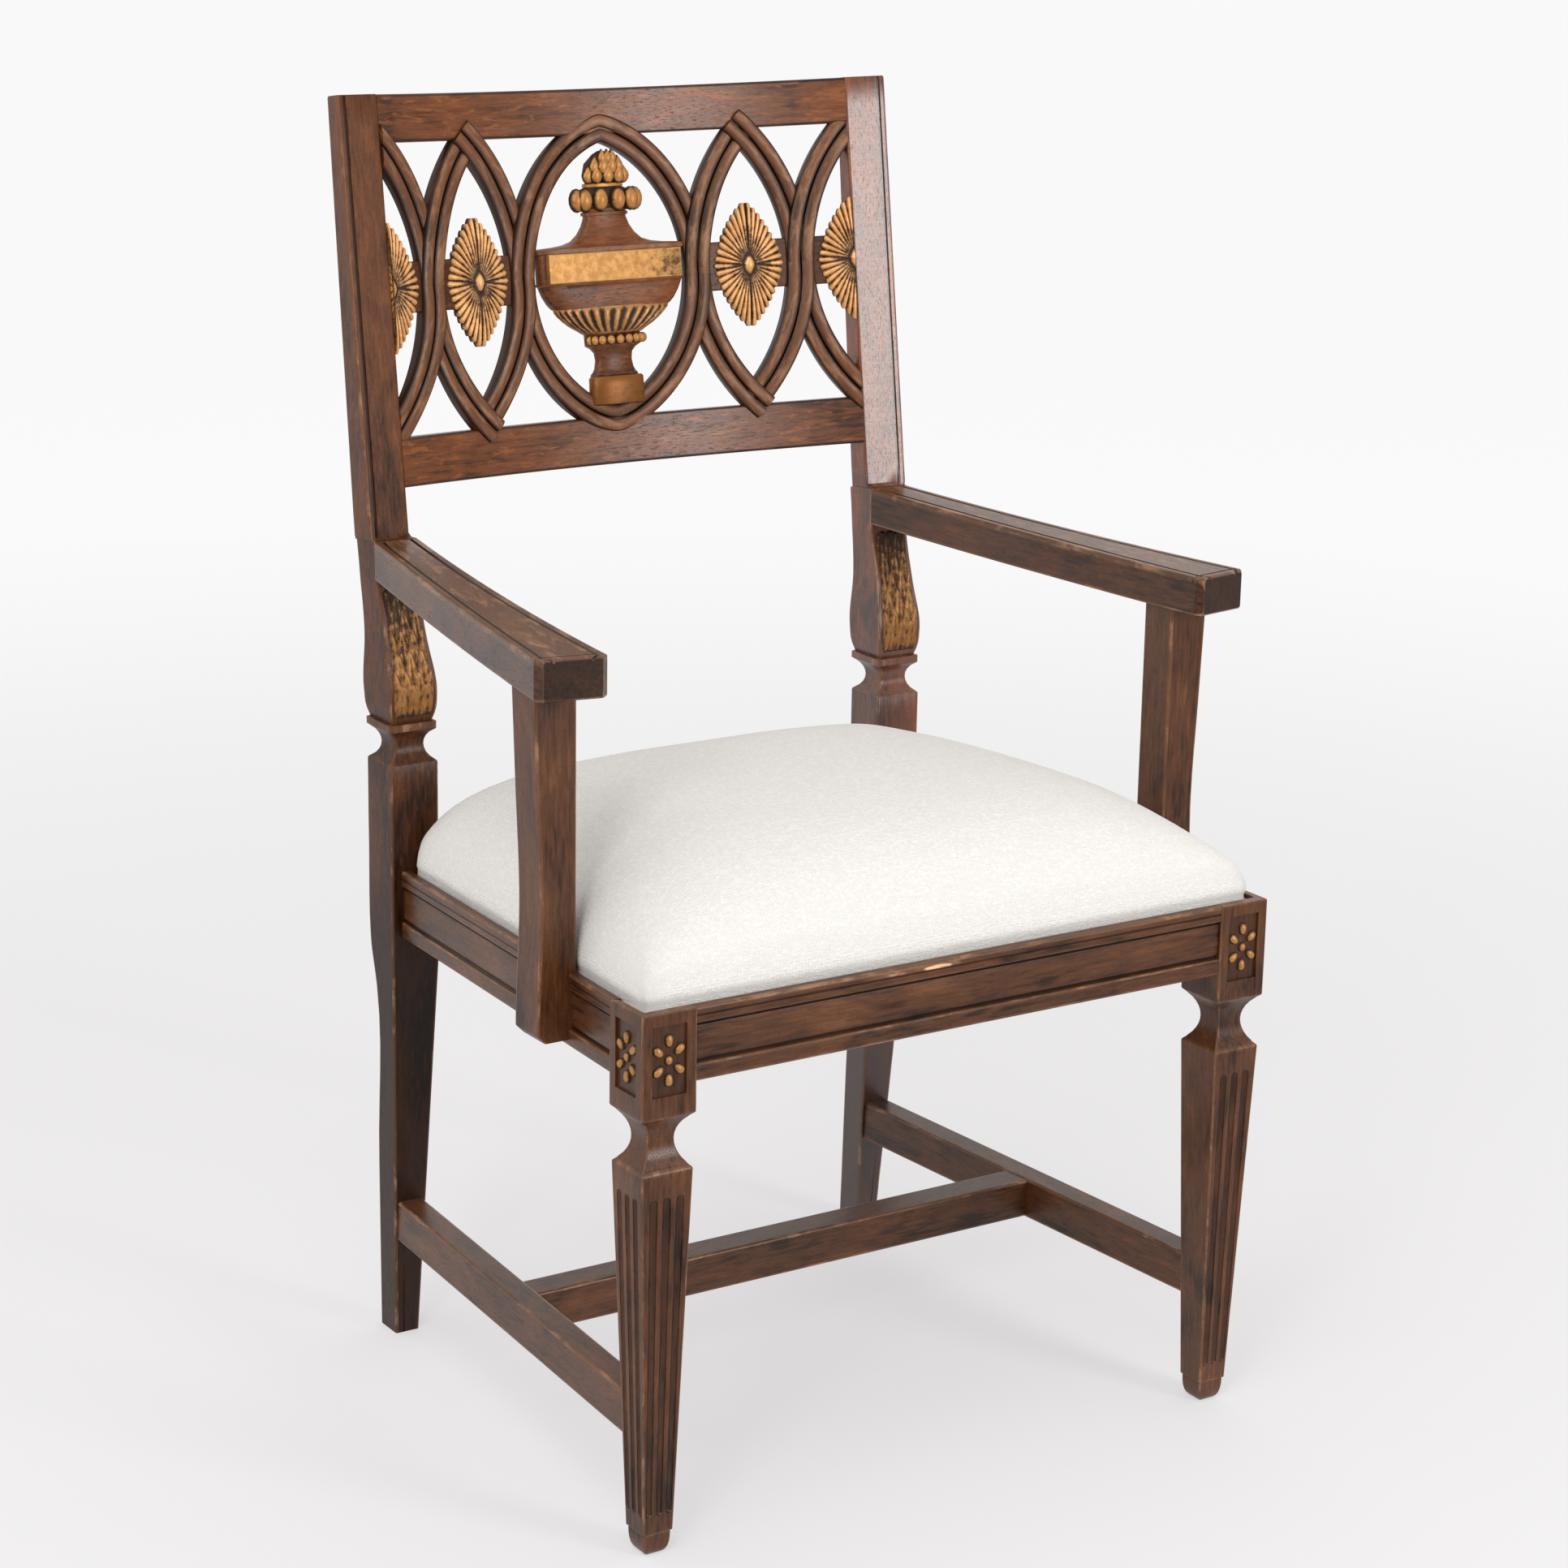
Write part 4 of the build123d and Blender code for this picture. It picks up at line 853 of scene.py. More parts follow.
def front_leg(sign, flute_depth):
    """Square leg as a stack of rings.

    Each face's points sit at share of the half width + share of the flute pitch + share of the flute radius,
    and sink by the flute's half round or by the sunk panel of the block.
    """
    radius, low_end, high_end = 1.1, 31.0, 268.0
    block_foot, panel_foot, panel_head, corner_ahead = 330, 341.2, 390.8, 35
    margin = radius + 0.5
    half_round = (-1, -0.97, -0.86, -0.62, -0.32, 0, 0.32, 0.62, 0.86, 0.97, 1)
    face = [(-1, 0, 0, margin, 0)]
    for flute in (-1, 0, 1):
        face += [(0, flute, c, 0, sqrt(1 - c * c)) for c in half_round]
    face = np.array(face + [(1, 0, 0, -margin, 0)])
    z, half, edge = leg_stations(low_end, high_end).T[..., None]
    in_block = z > block_foot
    pitch = np.where(in_block, 11.0, np.interp(z, (low_end, high_end), (8, 10.5)))
    flute_r = np.where(in_block, 2.5, np.interp(z, (low_end, high_end), (2.4, 3.2)))
    squeeze = np.minimum(1, (half - radius - 0.6) / (pitch + flute_r))
    pitch, flute_r = pitch * squeeze, flute_r * squeeze
    past = np.maximum(np.maximum(low_end + flute_r - z, z - high_end + flute_r), 0)
    hollow = np.sqrt(np.maximum((flute_r * face[:, 4]) ** 2 - past**2, 0)) * flute_depth
    hollow = np.where((z < low_end) | (z > high_end), 0, hollow)
    inside = (face[:, 3] == 0) & (np.abs(face[:, 1] + face[:, 2]) < 1.99)
    sink = hollow + np.where((z > panel_foot) & (z < panel_head) & inside, PANEL_SINK, 0.0)
    across = face[:, 0] * half + face[:, 1] * pitch + face[:, 2] * flute_r + face[:, 3]
    sides, wear_and_highlight_rows, recesses = [], [], []
    for k, (nx, ny) in enumerate(FACES):
        deep = sink if k in (0, 3) else 0 * sink
        out = half - deep
        turn = atan2(ny, nx) + np.linspace(0, pi / 2, 4)
        cx, cy = nx - ny, ny + nx
        corner = [cx * (half - radius) + radius * np.cos(turn), cy * (half - radius) + radius * np.sin(turn)]
        sides += [np.stack([nx * out - ny * across, ny * out + nx * across], -1), np.stack(corner, -1)]
        # Corners lightened by the edge mark, partly a painted highlight; flutes and sunk panel darkened by
        # depth as painted shade.
        wear_and_highlight_rows += [edge + 0 * out, np.ones_like(corner[0])]
        recesses += [np.clip(deep / 5, 0, 0.5), np.zeros_like(corner[0])]
    plan = np.concatenate(sides, 1)
    x, y = LEG_X + plan[..., 0], LEG_Y + plan[..., 1]
    well_x, well_y = RAIL_FRONT_X + RAIL_TURN * corner_ahead - WELL_WALL, FRONT_Y + WELL_WALL
    cut = np.where(z > WELL_FLOOR - 0.05, np.maximum(np.minimum(well_x - x, y - well_y), 0), 0)
    x, y, height = np.broadcast_arrays(x + cut, y - cut, z)
    rings, grain = np.stack([sign * x, y, height], -1), np.stack([height, x, y], -1)
    return tube(rings, np.concatenate(wear_and_highlight_rows, 1), grain, np.concatenate(recesses, 1))


def rosette(centre, out, petals):
    """A ring of round petals on an upright oval, with a bead in the middle."""
    centre, out = np.array(centre, float), np.array(out, float)
    side = np.cross(UP, out)
    made = [boss(centre, out, UP, 3.6, 3.2, 3.0)]
    for k in range(petals):
        angle = pi / 2 + 2 * pi * k / petals
        radial = side * cos(angle) * 9.4 + UP * sin(angle) * 13.8
        made.append(boss(centre + radial, out, radial, 4.9, 3.1, 3.2, point=-0.35))
    return joined(made)


def rail_profile():
    """Moulded rail seen from its end: (how far in from the face, height above its foot, wear, recess).

    wear lightens edges, partly as a painted highlight; recess darkens the grooves by the field and the well
    under the cushion's edge, as painted shade.
    """
    bead = [(25, 0.3, 0, 0), (3.2, 0, 0.3, 0), (1.6, 0.4, 0.9, 0), (0.5, 1.5, 0.9, 0), (0.1, 3.2, 0.4, 0)]
    bead += [(0, 6, 0, 0), (0, 10.4, 0.2, 0), (0.25, 11.8, 0.9, 0), (1, 12.7, 0.8, 0), (2.6, 13.2, 0, 0.6)]
    field = [(3.4, 13.9, 0, 1), (3.2, 14.8, 0, 1), (2.3, 15.6, 0, 0.3), (2, 18, 0, 0), (2, 28, 0, 0)]
    field += [(2, 37.5, 0, 0), (2.3, 39.2, 0, 0.4), (3.3, 40, 0, 1), (3.3, 40.9, 0, 1), (1.4, 41.3, 0, 0.6)]
    lip = [(0.35, 41.7, 0.5, 0), (0, 42.6, 0.6, 0), (0, 44, 0.1, 0), (0, 46.3, 0.4, 0), (0.6, 46.7, 0, 0.8)]
    lip += [(0.6, 47.6, 0, 0.8), (0, 48, 0.4, 0), (0, 49.4, 0.2, 0), (0, 50.6, 0.4, 0), (0.3, 51.8, 1, 0)]
    lip += [(1.1, 52.7, 1, 0), (2.4, 53, 0.8, 0), (4.5, 53, 0.2, 0), (7.2, 53, 0.3, 0), (8, 52.4, 0.4, 0)]
    well = [(8, 31, 0, 1), (25, 31, 0, 1)]
    return np.array(bead + field + lip + well)


def seat_rail(start, end, out, rubbed=None):
    """The rail profile carried straight from start to end, both on the rail's face and foot line.

    rubbed adds wear below the rim, each (place along the rail, reach, strength) a bell curve.
    """
    start, end, out = (np.array(v, float) for v in (start, end, out))
    share = np.linspace(0, 1, 121)[:, None]
    path = start + (end - start) * share
    profile = rail_profile()
    rings = path[:, None] - profile[:, 0, None] * out + profile[:, 1, None] * UP
    along = share * np.linalg.norm(end - start)
    grain = np.stack(np.broadcast_arrays(along, profile[:, 1], profile[:, 0]), -1)
    wear_and_highlight = np.broadcast_to(profile[:, 2], rings.shape[:2]).copy()
    if rubbed:
        band = np.exp(-(((profile[:, 1] - 49) / 1.8) ** 2)) * (profile[:, 0] < 3)
        for place, reach, strength in rubbed:
            wear_and_highlight += strength * band * np.exp(-(((along - place) / reach) ** 2))
    return tube(rings, np.minimum(wear_and_highlight, 2.0), grain, profile[:, 3] + 0 * wear_and_highlight)


def vase_edges(z):
    """Inner edge, outer edge and front of the rear leg's vase at a height: smooth curves through knots."""
    knots = (501, 508, 522, 567, 610, 640)
    inner = smooth_through(knots, (203.4, 201.4, 200.4, 204, 204.5, 204.5), z)
    outer = smooth_through(knots, (237.6, 239.6, 240.6, 238.5, 239.4, 240), z)
    front = smooth_through((501, 508, 522, 560, 604, 640), (3.6, 1.3, 0, 8.5, 21, 22.2), z)
    return inner, outer, front


def rear_leg_stations():
    """Rear leg from its foot up as rows of (height, inner edge, outer edge, front, rear, lean, wear).

    wear lightens the edges of the rings, partly as a painted highlight.
    """
    stretches = np.linspace(20, 290, 12), np.linspace(298, 330, 8), np.linspace(345, 469, 8)
    foot = np.concatenate([[0, 1.2], *stretches])
    edges = [np.interp(foot, (0, 320), ends) for ends in ((208.5, 200.5), (228.5, 240.5), (25, 0))]
    rear = smooth_through((0, 150, 290, 325, 400, 470), (51, 41, 31, 37.5, 39, 39), foot)
    neck, axis_x, axis_y = np.linspace(470.4, 495, 9), 220.5, 19.5
    wide = arc_through((470.4, 19.2), (482.5, 12.25), (495, 19.3), neck)
    deep = arc_through((470.4, 18.6), (482.5, 11.5), (495, 18.8), neck)
    vase = np.concatenate([[501.4], np.linspace(503, 604, 26)])
    vase_rear = smooth_through((501, 508, 522, 560, 604, 637), (39.5, 42, 44, 45.5, 50, 54), vase)
    vase_lean = 0.25 * RAKE * np.maximum(0, (vase - 590) / 14)
    rise = np.array([20, *np.linspace(40, BACK_TOP - 1.2, 14), BACK_TOP])
    last = rise == BACK_TOP
    front = STILE_STEP + BACK_STEP + rise * sin(RAKE)
    thick = np.interp(rise, (0, BACK_TOP), (STILE_THICK, STILE_TOP_THICK))
    inner, outer = STILE_INNER + 0.6 * last, STILE_OUTER - 0.6 * last
    stile_z = SHOULDER_Z + rise * cos(RAKE)
    return np.concatenate([
        stations(foot, *edges, rear, 0, 0.5 * (foot < 2)),
        [(470, 200.9, 240.1, 0.4, 38.6, 0, 0.9)],
        stations(neck, axis_x - wide, axis_x + wide, axis_y - deep, axis_y + deep, 0, 0),
        [(495.4, 200.8, 240.2, 1.2, 40.8, 0, 0.9), (500.6, 200.8, 240.2, 1.2, 40.8, 0, 0.9)],
        [(501, 201.6, 239.4, 2, 40, 0, 0.4)],
        stations(vase, *vase_edges(vase), vase_rear, vase_lean, 0),
        [(620, 204.5, 239.6, 22, 51.5, 0.5 * RAKE, 0), (636.3, 204.5, 240, 22, 53.6, 0.7 * RAKE, 0)],
        [(637, 205, 240, 22.6, 53.7, 0.72 * RAKE, 0.6), (637.2, STILE_INNER, 241, 27, 53.8, 0.75 * RAKE, 0)],
        [(640, STILE_INNER, STILE_OUTER, 27.4, 54, 0.8 * RAKE, 0)],
        stations(stile_z, inner, outer, front + 0.5 * last, front + thick, RAKE, 0.8 * last),
    ])


def rear_leg(sign):
    """Rear leg and stile: rounded rectangles stacked up the front edge's line, leaning back above the arm.

    The scratched line and the toe, which turns the stile's face towards the bow, set in above the shoulder.
    """
    z, x_in, x_out, y_front, y_rear, lean, edge = rear_leg_stations().T[..., None]
    shape = section(1.5, lines=((3, 1, 6.0),))
    half_u, half_v = (x_out - x_in) / 2, (y_rear - y_front) / 2
    u, v = placed(shape, half_u.ravel(), half_v.ravel())
    above = np.clip((z - SHOULDER_Z) / 3, 0, 1)
    toe = above * TOE * np.clip(0.5 - v / (2 * half_v), 0, 1) * np.clip(0.5 - u / (2 * half_u), 0, 1)
    depth = v - LINE_DEPTH * shape[:, 5] * (1 - above) + toe + half_v
    x = x_in + half_u + u
    y = STILE_Y + y_front + depth * np.cos(lean)
    front_inner = (shape[:, 2] == -1) & (shape[:, 4] == 1) & (shape[:, 0] == -1)
    wear_and_highlight = np.maximum(shape[:, 4], edge) * (1 - 0.8 * above * front_inner)
    # Painted shade: the rear leg darkens from its foot up to the vase, as it stands in shade under the seat;
    # the scratched line above the shoulder is darkened as well.
    shade = np.interp(z, (0, 330, 400, 470, 630, 642), (0.95, 0.95, 0.5, 0.25, 0.25, 0.0))
    rings = np.stack([sign * x, y, z - depth * np.sin(lean)], -1)
    return tube(rings, wear_and_highlight, np.stack([z + 0 * x, x, y], -1), shape[:, 5] * above + shade)


def arm(sign):
    """Arm as rounded rectangles from the stile forwards: the inner edge is an arc, the outer edge straight.

    The lines scratched near both edges and the front end sink into the top, darkened as painted shade. The
    top is lighter between them, as rubbing and as a painted highlight of the lit top.
    """
    front_y, skew, half_thick = FRONT_Y + 78, 4.75, 14.5
    inner_rear, inner_front, outer_rear, outer_front = 204.5, 250.0, 240.5, 301.0
    before_line, line, after_line = np.linspace(0.03, 0.96, 40), [0.9762, 0.98], [0.9817, 0.9855, 0.9955, 1.0]
    t = np.concatenate([[0, 0.004], before_line, [0.9745], line, after_line])
    y_inner = ARM_END_Y + (front_y - skew - ARM_END_Y) * t
    y_outer = ARM_END_Y + (front_y + skew - ARM_END_Y) * t
    middle = (ARM_END_Y + front_y) / 2
    swell = (middle, (inner_rear + inner_front) / 2 + 2.4)
    x_inner = arc_through((ARM_END_Y, inner_rear), swell, (front_y - skew, inner_front), y_inner)
    x_outer = outer_rear + (outer_front - outer_rear) * t
    ends = (ARM_END_Y, SHOULDER_Z), (front_y - 2 * skew, 628)
    top = arc_through(ends[0], (middle, 630.5), ends[1], (y_inner + y_outer) / 2)
    trim = 5 * np.clip((t - 0.9855) / 0.0145, 0, 1)
    inner, outer = np.stack([x_inner, y_inner], -1), np.stack([x_outer, y_outer], -1)
    width = np.linalg.norm(outer - inner, axis=1)
    across = (outer - inner) / width[:, None]
    centre = (inner + outer) / 2
    soft = 1.2 * (t >= 1)
    path = np.stack([sign * centre[:, 0], centre[:, 1], top - half_thick], -1)
    over = np.stack([sign * across[:, 0], across[:, 1], 0 * t], -1)
    shape = section(ARM_EDGE, lines=((1, -1, 6.6), (1, 1, 6.6)))
    skin = sweep(path, over, UP, width / 2 - trim, half_thick - soft, shape, 0.9)
    flat_top = (shape[:, 2] == 1) & (shape[:, 4] == 0)
    on_top = np.nonzero(flat_top & (np.abs(shape[:, 1]) != ARM_EDGE + EDGE_KEEP))[0]
    for row in np.nonzero(np.isin(t, line))[0]:
        cut = on_top + (row + 1) * len(shape)
        skin.points[cut, 2] = np.minimum(skin.points[cut, 2], top[row] - LINE_DEPTH)
        skin.recess_and_shade[cut] = 1
    skin.recess_and_shade[-2 * len(shape):] = 0.75
    # The top face is lightened by the edge mark: rubbed wear, and a painted highlight of the lit top.
    skin.wear_and_highlight[(skin.recess_and_shade == 0) & np.tile(shape[:, 2] == 1, len(t) + 2) & (skin.wear_and_highlight == 0)] = 0.9
    return skin


def arm_post(sign):
    """Arm post: rounded rectangles stacked up, the inner face straight and the outer face waisted."""
    half_deep, lap = 16.0, 4.6
    post_y = FRONT_Y + 110 + half_deep
    inner = RAIL_FRONT_X - RAIL_TURN * (post_y - RAIL_FRONT_Y) - lap
    z = np.concatenate([[350, 350.8, 353, 355.5, 356.5], np.linspace(362, 604, 34)])
    wide = smooth_through((350, 356, 450, 529, 614), (30.5, 30.5, 27.5, 30.4, 33.5), z)
    wide = wide - np.interp(z, (350, 356), (6, 0))
    path = stations(sign * (inner + wide / 2), post_y, z)
    return sweep(path, (sign, 0, 0), (0, 1, 0), wide / 2, half_deep, section(1.6), 0.5)


def straight_bar(start, end, half_across, half_up, radius=1.8):
    """A plain squared bar with softened edges, level from start to end."""
    start, end = np.array(start, float), np.array(end, float)
    share = np.concatenate([[0, 0.003], np.linspace(0.04, 0.96, 20), [0.997, 1]])[:, None]
    run = (end - start) / np.linalg.norm(end - start)
    across = np.cross(run, UP)
    across = across / np.linalg.norm(across)
    path = start + (end - start) * share
    return sweep(path, across, np.cross(across, run), half_across, half_up, section(radius))


def back_rail(x_from, x_to, rise_low, rise_high, lift_low=-14.0, lift_high=0.0, radius=1.6, dirt_and_shade=0.0):
    """A bar of the back: a rounded rectangle in lift and rise, carried across the bow.

    Its rounded edges are darkened as painted shade or, where dirt is given, the whole bar, as grime and
    painted shade.
    """
    x = np.linspace(x_from, x_to, max(9, int((x_to - x_from) / 7)))
    shape = section(radius)
    lift, rise = placed(shape, (lift_high - lift_low) / 2, (rise_high - rise_low) / 2)
    lift, rise = lift[0] + (lift_low + lift_high) / 2, rise[0] + (rise_low + rise_high) / 2
    rings = on_back(x[:, None], rise[None], lift[None])
    grain = np.stack(np.broadcast_arrays(x[:, None], rise[None], lift[None]), -1)
    return tube(rings, 0.0, grain, dirt_and_shade + 0.85 * shape[:, 4] * (dirt_and_shade == 0))


def band_profile(width):
    """Lattice band seen from its end, (across, lift, recess): two round beads and a groove, flat behind.

    recess darkens the flat sides, standing for walls in shadow, the beads' flanks and the groove, as painted
    shade.
    """
    half = width / 2
    bead = half / 2 - 0.15
    turn = np.linspace(pi, 0, 8)
    rows = [(-half, BAND_BACK, 0.8), (-half, -3.0, 0.9), (-half + 0.1, -1.3, 1.0)]
    for middle in (-half / 2, half / 2):
        for a in turn[1:-1]:
            rows.append((middle + bead * cos(a), -1.0 + 2.6 * sin(a) ** 0.8, 1.1 * abs(cos(a)) ** 1.7))
        if middle < 0:
            rows += [(-0.45, -1.6, 1.2), (0.0, -2.4, 1.2), (0.45, -1.6, 1.2)]
    rows += [(half - 0.1, -1.3, 1.0), (half, -3.0, 0.9), (half, BAND_BACK, 0.8)]
    return np.array(rows)


def interlace(rise, side, depth):
    """How far a band stands out or dips: a sine up the back, opposite for left and right bands."""
    return -side * depth * np.sin(2 * pi * rise / INTERLACE_WAVE)


def arc_band(middle_x, side, half_width, half_height, width, depth, stop_x=None):
    """One side of a pointed oval: the band profile along a circle, each line ending on the other side's edge.

    stop_x ends it on the stile instead.
    """
    radius = (half_width**2 + half_height**2) / (2 * half_width)
    offset = radius - half_width
    profile = band_profile(width)
    rho = radius + profile[:, 0]
    if stop_x is None:
        far = radius + width / 2
        end = np.arccos(np.clip((4 * offset**2 + rho**2 - far**2) / (4 * offset * rho), -1, 1))
    else:
        end = np.arccos(np.clip((abs(middle_x) + offset - stop_x) / rho, -1, 1))
    t = np.sin(np.linspace(-pi / 2, pi / 2, 61))[:, None] * 0.35 + np.linspace(-1, 1, 61)[:, None] * 0.65
    angle = t * end
    x = middle_x + side * (rho * np.cos(angle) - offset)
    rise = rho * np.sin(angle)
    lift = profile[:, 1] + interlace(rise, side, depth) * np.where(profile[:, 1] > BAND_BACK, 1, 0)
    rings = on_back(x, LATTICE_RISE + rise, lift)
    grain = np.stack(np.broadcast_arrays(angle * radius, profile[:, 0], lift), -1)
    # Painted highlight on the beads' tops.
    wear_and_highlight = np.where(profile[:, 1] > 0.9, 0.85, 0) + 0 * x
    return tube(rings, wear_and_highlight, grain, profile[:, 2] + 0 * x)


def oval_band(half_width, half_height, width, depth):
    """The middle oval as one closed band: between an ellipse and a pointed oval, rounder below."""
    radius = (half_width**2 + half_height**2) / (2 * half_width)
    offset = radius - half_width
    turn = np.linspace(0, 2 * pi, 160, endpoint=False)
    rise = half_height * np.sin(turn)
    pointed = np.sqrt(radius**2 - rise**2) - offset
    round_share = np.interp(np.sin(turn), (-0.6, 0.6), (0.5, 0.2))
    x = round_share * half_width * np.cos(turn) + (1 - round_share) * np.sign(np.cos(turn)) * pointed
    dx, dr = np.roll(x, -1) - np.roll(x, 1), np.roll(rise, -1) - np.roll(rise, 1)
    size = np.hypot(dx, dr)
    nx, nr = (dr / size)[:, None], (-dx / size)[:, None]
    profile = band_profile(width)
    px, pr = x[:, None] + nx * profile[:, 0], rise[:, None] + nr * profile[:, 0]
    side = np.sign(px) * np.minimum(1, np.abs(px) / 30)
    lift = profile[:, 1] + interlace(pr, side, depth) * np.where(profile[:, 1] > BAND_BACK, 1, 0)
    rings = on_back(px, LATTICE_RISE + pr, lift)
    length = np.concatenate([[0], np.cumsum(size / 2)[:-1]])[:, None]
    grain = np.stack(np.broadcast_arrays(length, profile[:, 0], lift), -1)
    # Painted highlight on the beads' tops.
    wear_and_highlight = np.where(profile[:, 1] > 0.9, 0.85, 0) + 0 * px
    return tube(rings, wear_and_highlight, grain, profile[:, 2] + 0 * px, looped=True)


def patera(middle_x, half_width, half_height, flutes, stop_x=None):
    """Lozenge-shaped patera on a polar grid: flutes ripple round it, dying out towards a bead in the middle.

    Its rim is a superellipse of a low power, and creases run along both of its axes. The flutes' crests are
    lightened as a painted highlight; the grooves, creases, the ring round the bead and the back are darkened
    as painted shade.
    """
    power, behind = 1.36, -5.5
    fine = np.linspace(0, 2 * pi, 2001)
    reach = np.abs(np.cos(fine) / half_width) ** power + np.abs(np.sin(fine) / half_height) ** power
    reach = reach ** (-1 / power)
    ox, oy = reach * np.cos(fine), reach * np.sin(fine)
    walked = np.concatenate([[0], np.cumsum(np.hypot(np.diff(ox), np.diff(oy)))])
    share = np.linspace(0, 1, flutes * 8, endpoint=False)
    turn = np.interp(share * walked[-1], walked, fine)
    rim = np.interp(turn, fine, reach)
    ripple = np.abs(np.cos(pi * share * flutes))
    out = np.array([0.03, 0.1, 0.15, 0.19, 0.24, 0.34, 0.48, 0.62, 0.76, 0.87, 0.95, 0.99, 1.0, 1.0])[:, None]
    swell = np.interp(out, (0.2, 0.45, 0.65, 0.88, 1), (0, 0.5, 1.6, 2.6, 2.0))
    dome_at = (0, 0.12, 0.17, 0.22, 0.35, 0.7, 0.95, 1.0)
    dome = np.interp(out, dome_at, (4.6, 3.6, 1.4, 1.6, 2.6, 2.2, 0.4, -0.6))
    off_axis = np.minimum(np.abs(np.cos(turn)) * half_height / half_width, np.abs(np.sin(turn)))
    crease = 0.8 * np.exp(-((off_axis / 0.09) ** 2))
    lift = dome + swell * (ripple - 0.55) - crease * np.interp(out, (0.2, 0.3, 0.8, 1), (0, 1, 0.8, 0))
    scallop = 1 + 0.05 * (ripple - 0.6) * np.interp(out, (0.6, 1), (0, 1))
    lift[-1] = behind
    lift = np.concatenate([lift, np.full((1, lift.shape[1]), behind)])
    out, scallop = np.concatenate([out, [[0.03]]]), np.concatenate([scallop, scallop[:1]])
    x = middle_x + out * rim * scallop * np.cos(turn)
    rise = out * rim * scallop * np.sin(turn)
    if stop_x is not None:
        x = np.sign(middle_x) * np.minimum(np.sign(middle_x) * x, stop_x)
    rings = on_back(x, LATTICE_RISE + rise, lift)
    # Painted shade in the grooves, the creases, round the bead and behind.
    groove = np.interp(out, (0.2, 0.4, 0.6, 0.9, 1), (0.1, 0.35, 0.8, 1.05, 1.05))
    valley = 0.78 * (1 - ripple**1.6) * groove + 0.45 * crease * (out < 0.9)
    valley = valley + np.exp(-(((out - 0.17) / 0.035) ** 2))
    valley = valley + np.interp(out, (0.14, 0.2, 0.42, 0.72), (0, 0.75, 0.5, 0))
    valley[-2:] = 1.2
    # Painted highlight on the crests.
    crest = np.interp(out, (0, 0.13, 0.3, 0.6, 0.88, 1), (1.6, 1.2, 0, 0.3, 1, 0.4)) * ripple**2
    grain = np.stack(np.broadcast_arrays(rise, x, lift), -1)
    return tube(rings, crest, grain, np.clip(valley, 0, 1.2))


def urn_rise(z):
    """Rise on the back, from its middle, of a height above the floor at the urn's front."""
    return (z - URN_FOOT_Z) / cos(RAKE) - LATTICE_RISE


def turned(rows, lift_middle=2.0, lobes=0, lobe_rows=(0, 0), square=0.8, fade=None, dirt_and_shade=0.0, back=0.0):
    """Urn body: flattened round sections up the middle, (height, half width, half depth, wear) each.

    A section is half width times cos and half depth times a squared-off sin; lobes swell it in and out,
    leaning a little, the gaps between them darkened as painted shade. wear lightens rings, partly as a
    painted highlight. fade gives the heights between which it darkens downwards; dirt darkens it all over, as
    grime and painted shade, and back darkens it behind.
    """
    z, wide, deep, edge = (np.array(column, float)[:, None] for column in zip(*rows))
    turn = np.linspace(0, 2 * pi, 132, endpoint=False)
    ripple = 1.0
    hollow = dirt_and_shade + back * (np.sin(turn) < -0.2) + 0 * z
    if fade:
        hollow = hollow + np.clip((fade[1] - z) / (fade[1] - fade[0]), 0, 1)
    if lobes:
        on = np.clip((z - lobe_rows[0]) / 3, 0, 1) * np.clip((lobe_rows[1] - z) / 3, 0, 1)
        wave = np.abs(np.cos((turn + 0.006 * (z - lobe_rows[0])) * lobes))
        ripple = 1 + on * 0.22 * (wave - 0.62)
        hollow = hollow + on * (1 - wave**1.5) * 1.1
    x = wide * np.cos(turn) * (1 + (ripple - 1) * 0.35)
    lift = lift_middle - URN_SINK + deep * np.sign(np.sin(turn)) * np.abs(np.sin(turn)) ** square * ripple
    rise = urn_rise(z) + 0 * turn
    rings = on_back(x, LATTICE_RISE + rise, lift)
    grain = np.stack(np.broadcast_arrays(x, rise, lift), -1)
    return tube(rings, edge + 0 * turn, grain, hollow)


def back_boss(x, z, lift, half_across, half_up, height, point=0.0):
    """A carved egg or leaf on the urn, standing out from the back at this place."""
    rise = LATTICE_RISE + urn_rise(z)
    centre, over = on_back(x, rise, lift), on_back(x, rise, lift + 1)
    upward = on_back(x, rise + 1, lift) - centre
    return boss(centre, over - centre, upward, half_up, half_across, height, rings=5, spokes=14, point=point)


def urn_plinth():
    """Gilded plinth under the urn, darker behind and towards its foot."""
    rows = [(714, 21, 6, 0.2), (715, 23, 9, 0.9), (724, 23.8, 10, 0.2), (729, 23.6, 10, 0)]
    rows += [(734.6, 23.4, 10, 0.6), (736, 22.2, 9, 0.9)]
    return turned(rows, 4.5, fade=(700, 728), back=1.0)


def urn_gilt_band():
    """Gilded front of the urn's broad band: a thin rounded strip bent like the urn, worn at its right end."""
    half_long = 60
    shape = section(0.8)
    x = np.linspace(-half_long, half_long, 41)[:, None]
    lift, rise = placed(shape, 2.0, 11.4)
    bulge = 14.6 - URN_SINK - 3.4 * (x / half_long) ** 2
    rings = on_back(x, LATTICE_RISE + urn_rise(820) + rise, bulge + lift)
    lost = 0.5 * np.clip((x - 12) / 40, 0, 1) + 0 * rise
    # Its rounded edges get a painted highlight; the gilding is lost towards its right end.
    return tube(rings, shape[:, 4] * 0.8, np.stack(np.broadcast_arrays(x, rise, lift), -1), lost)


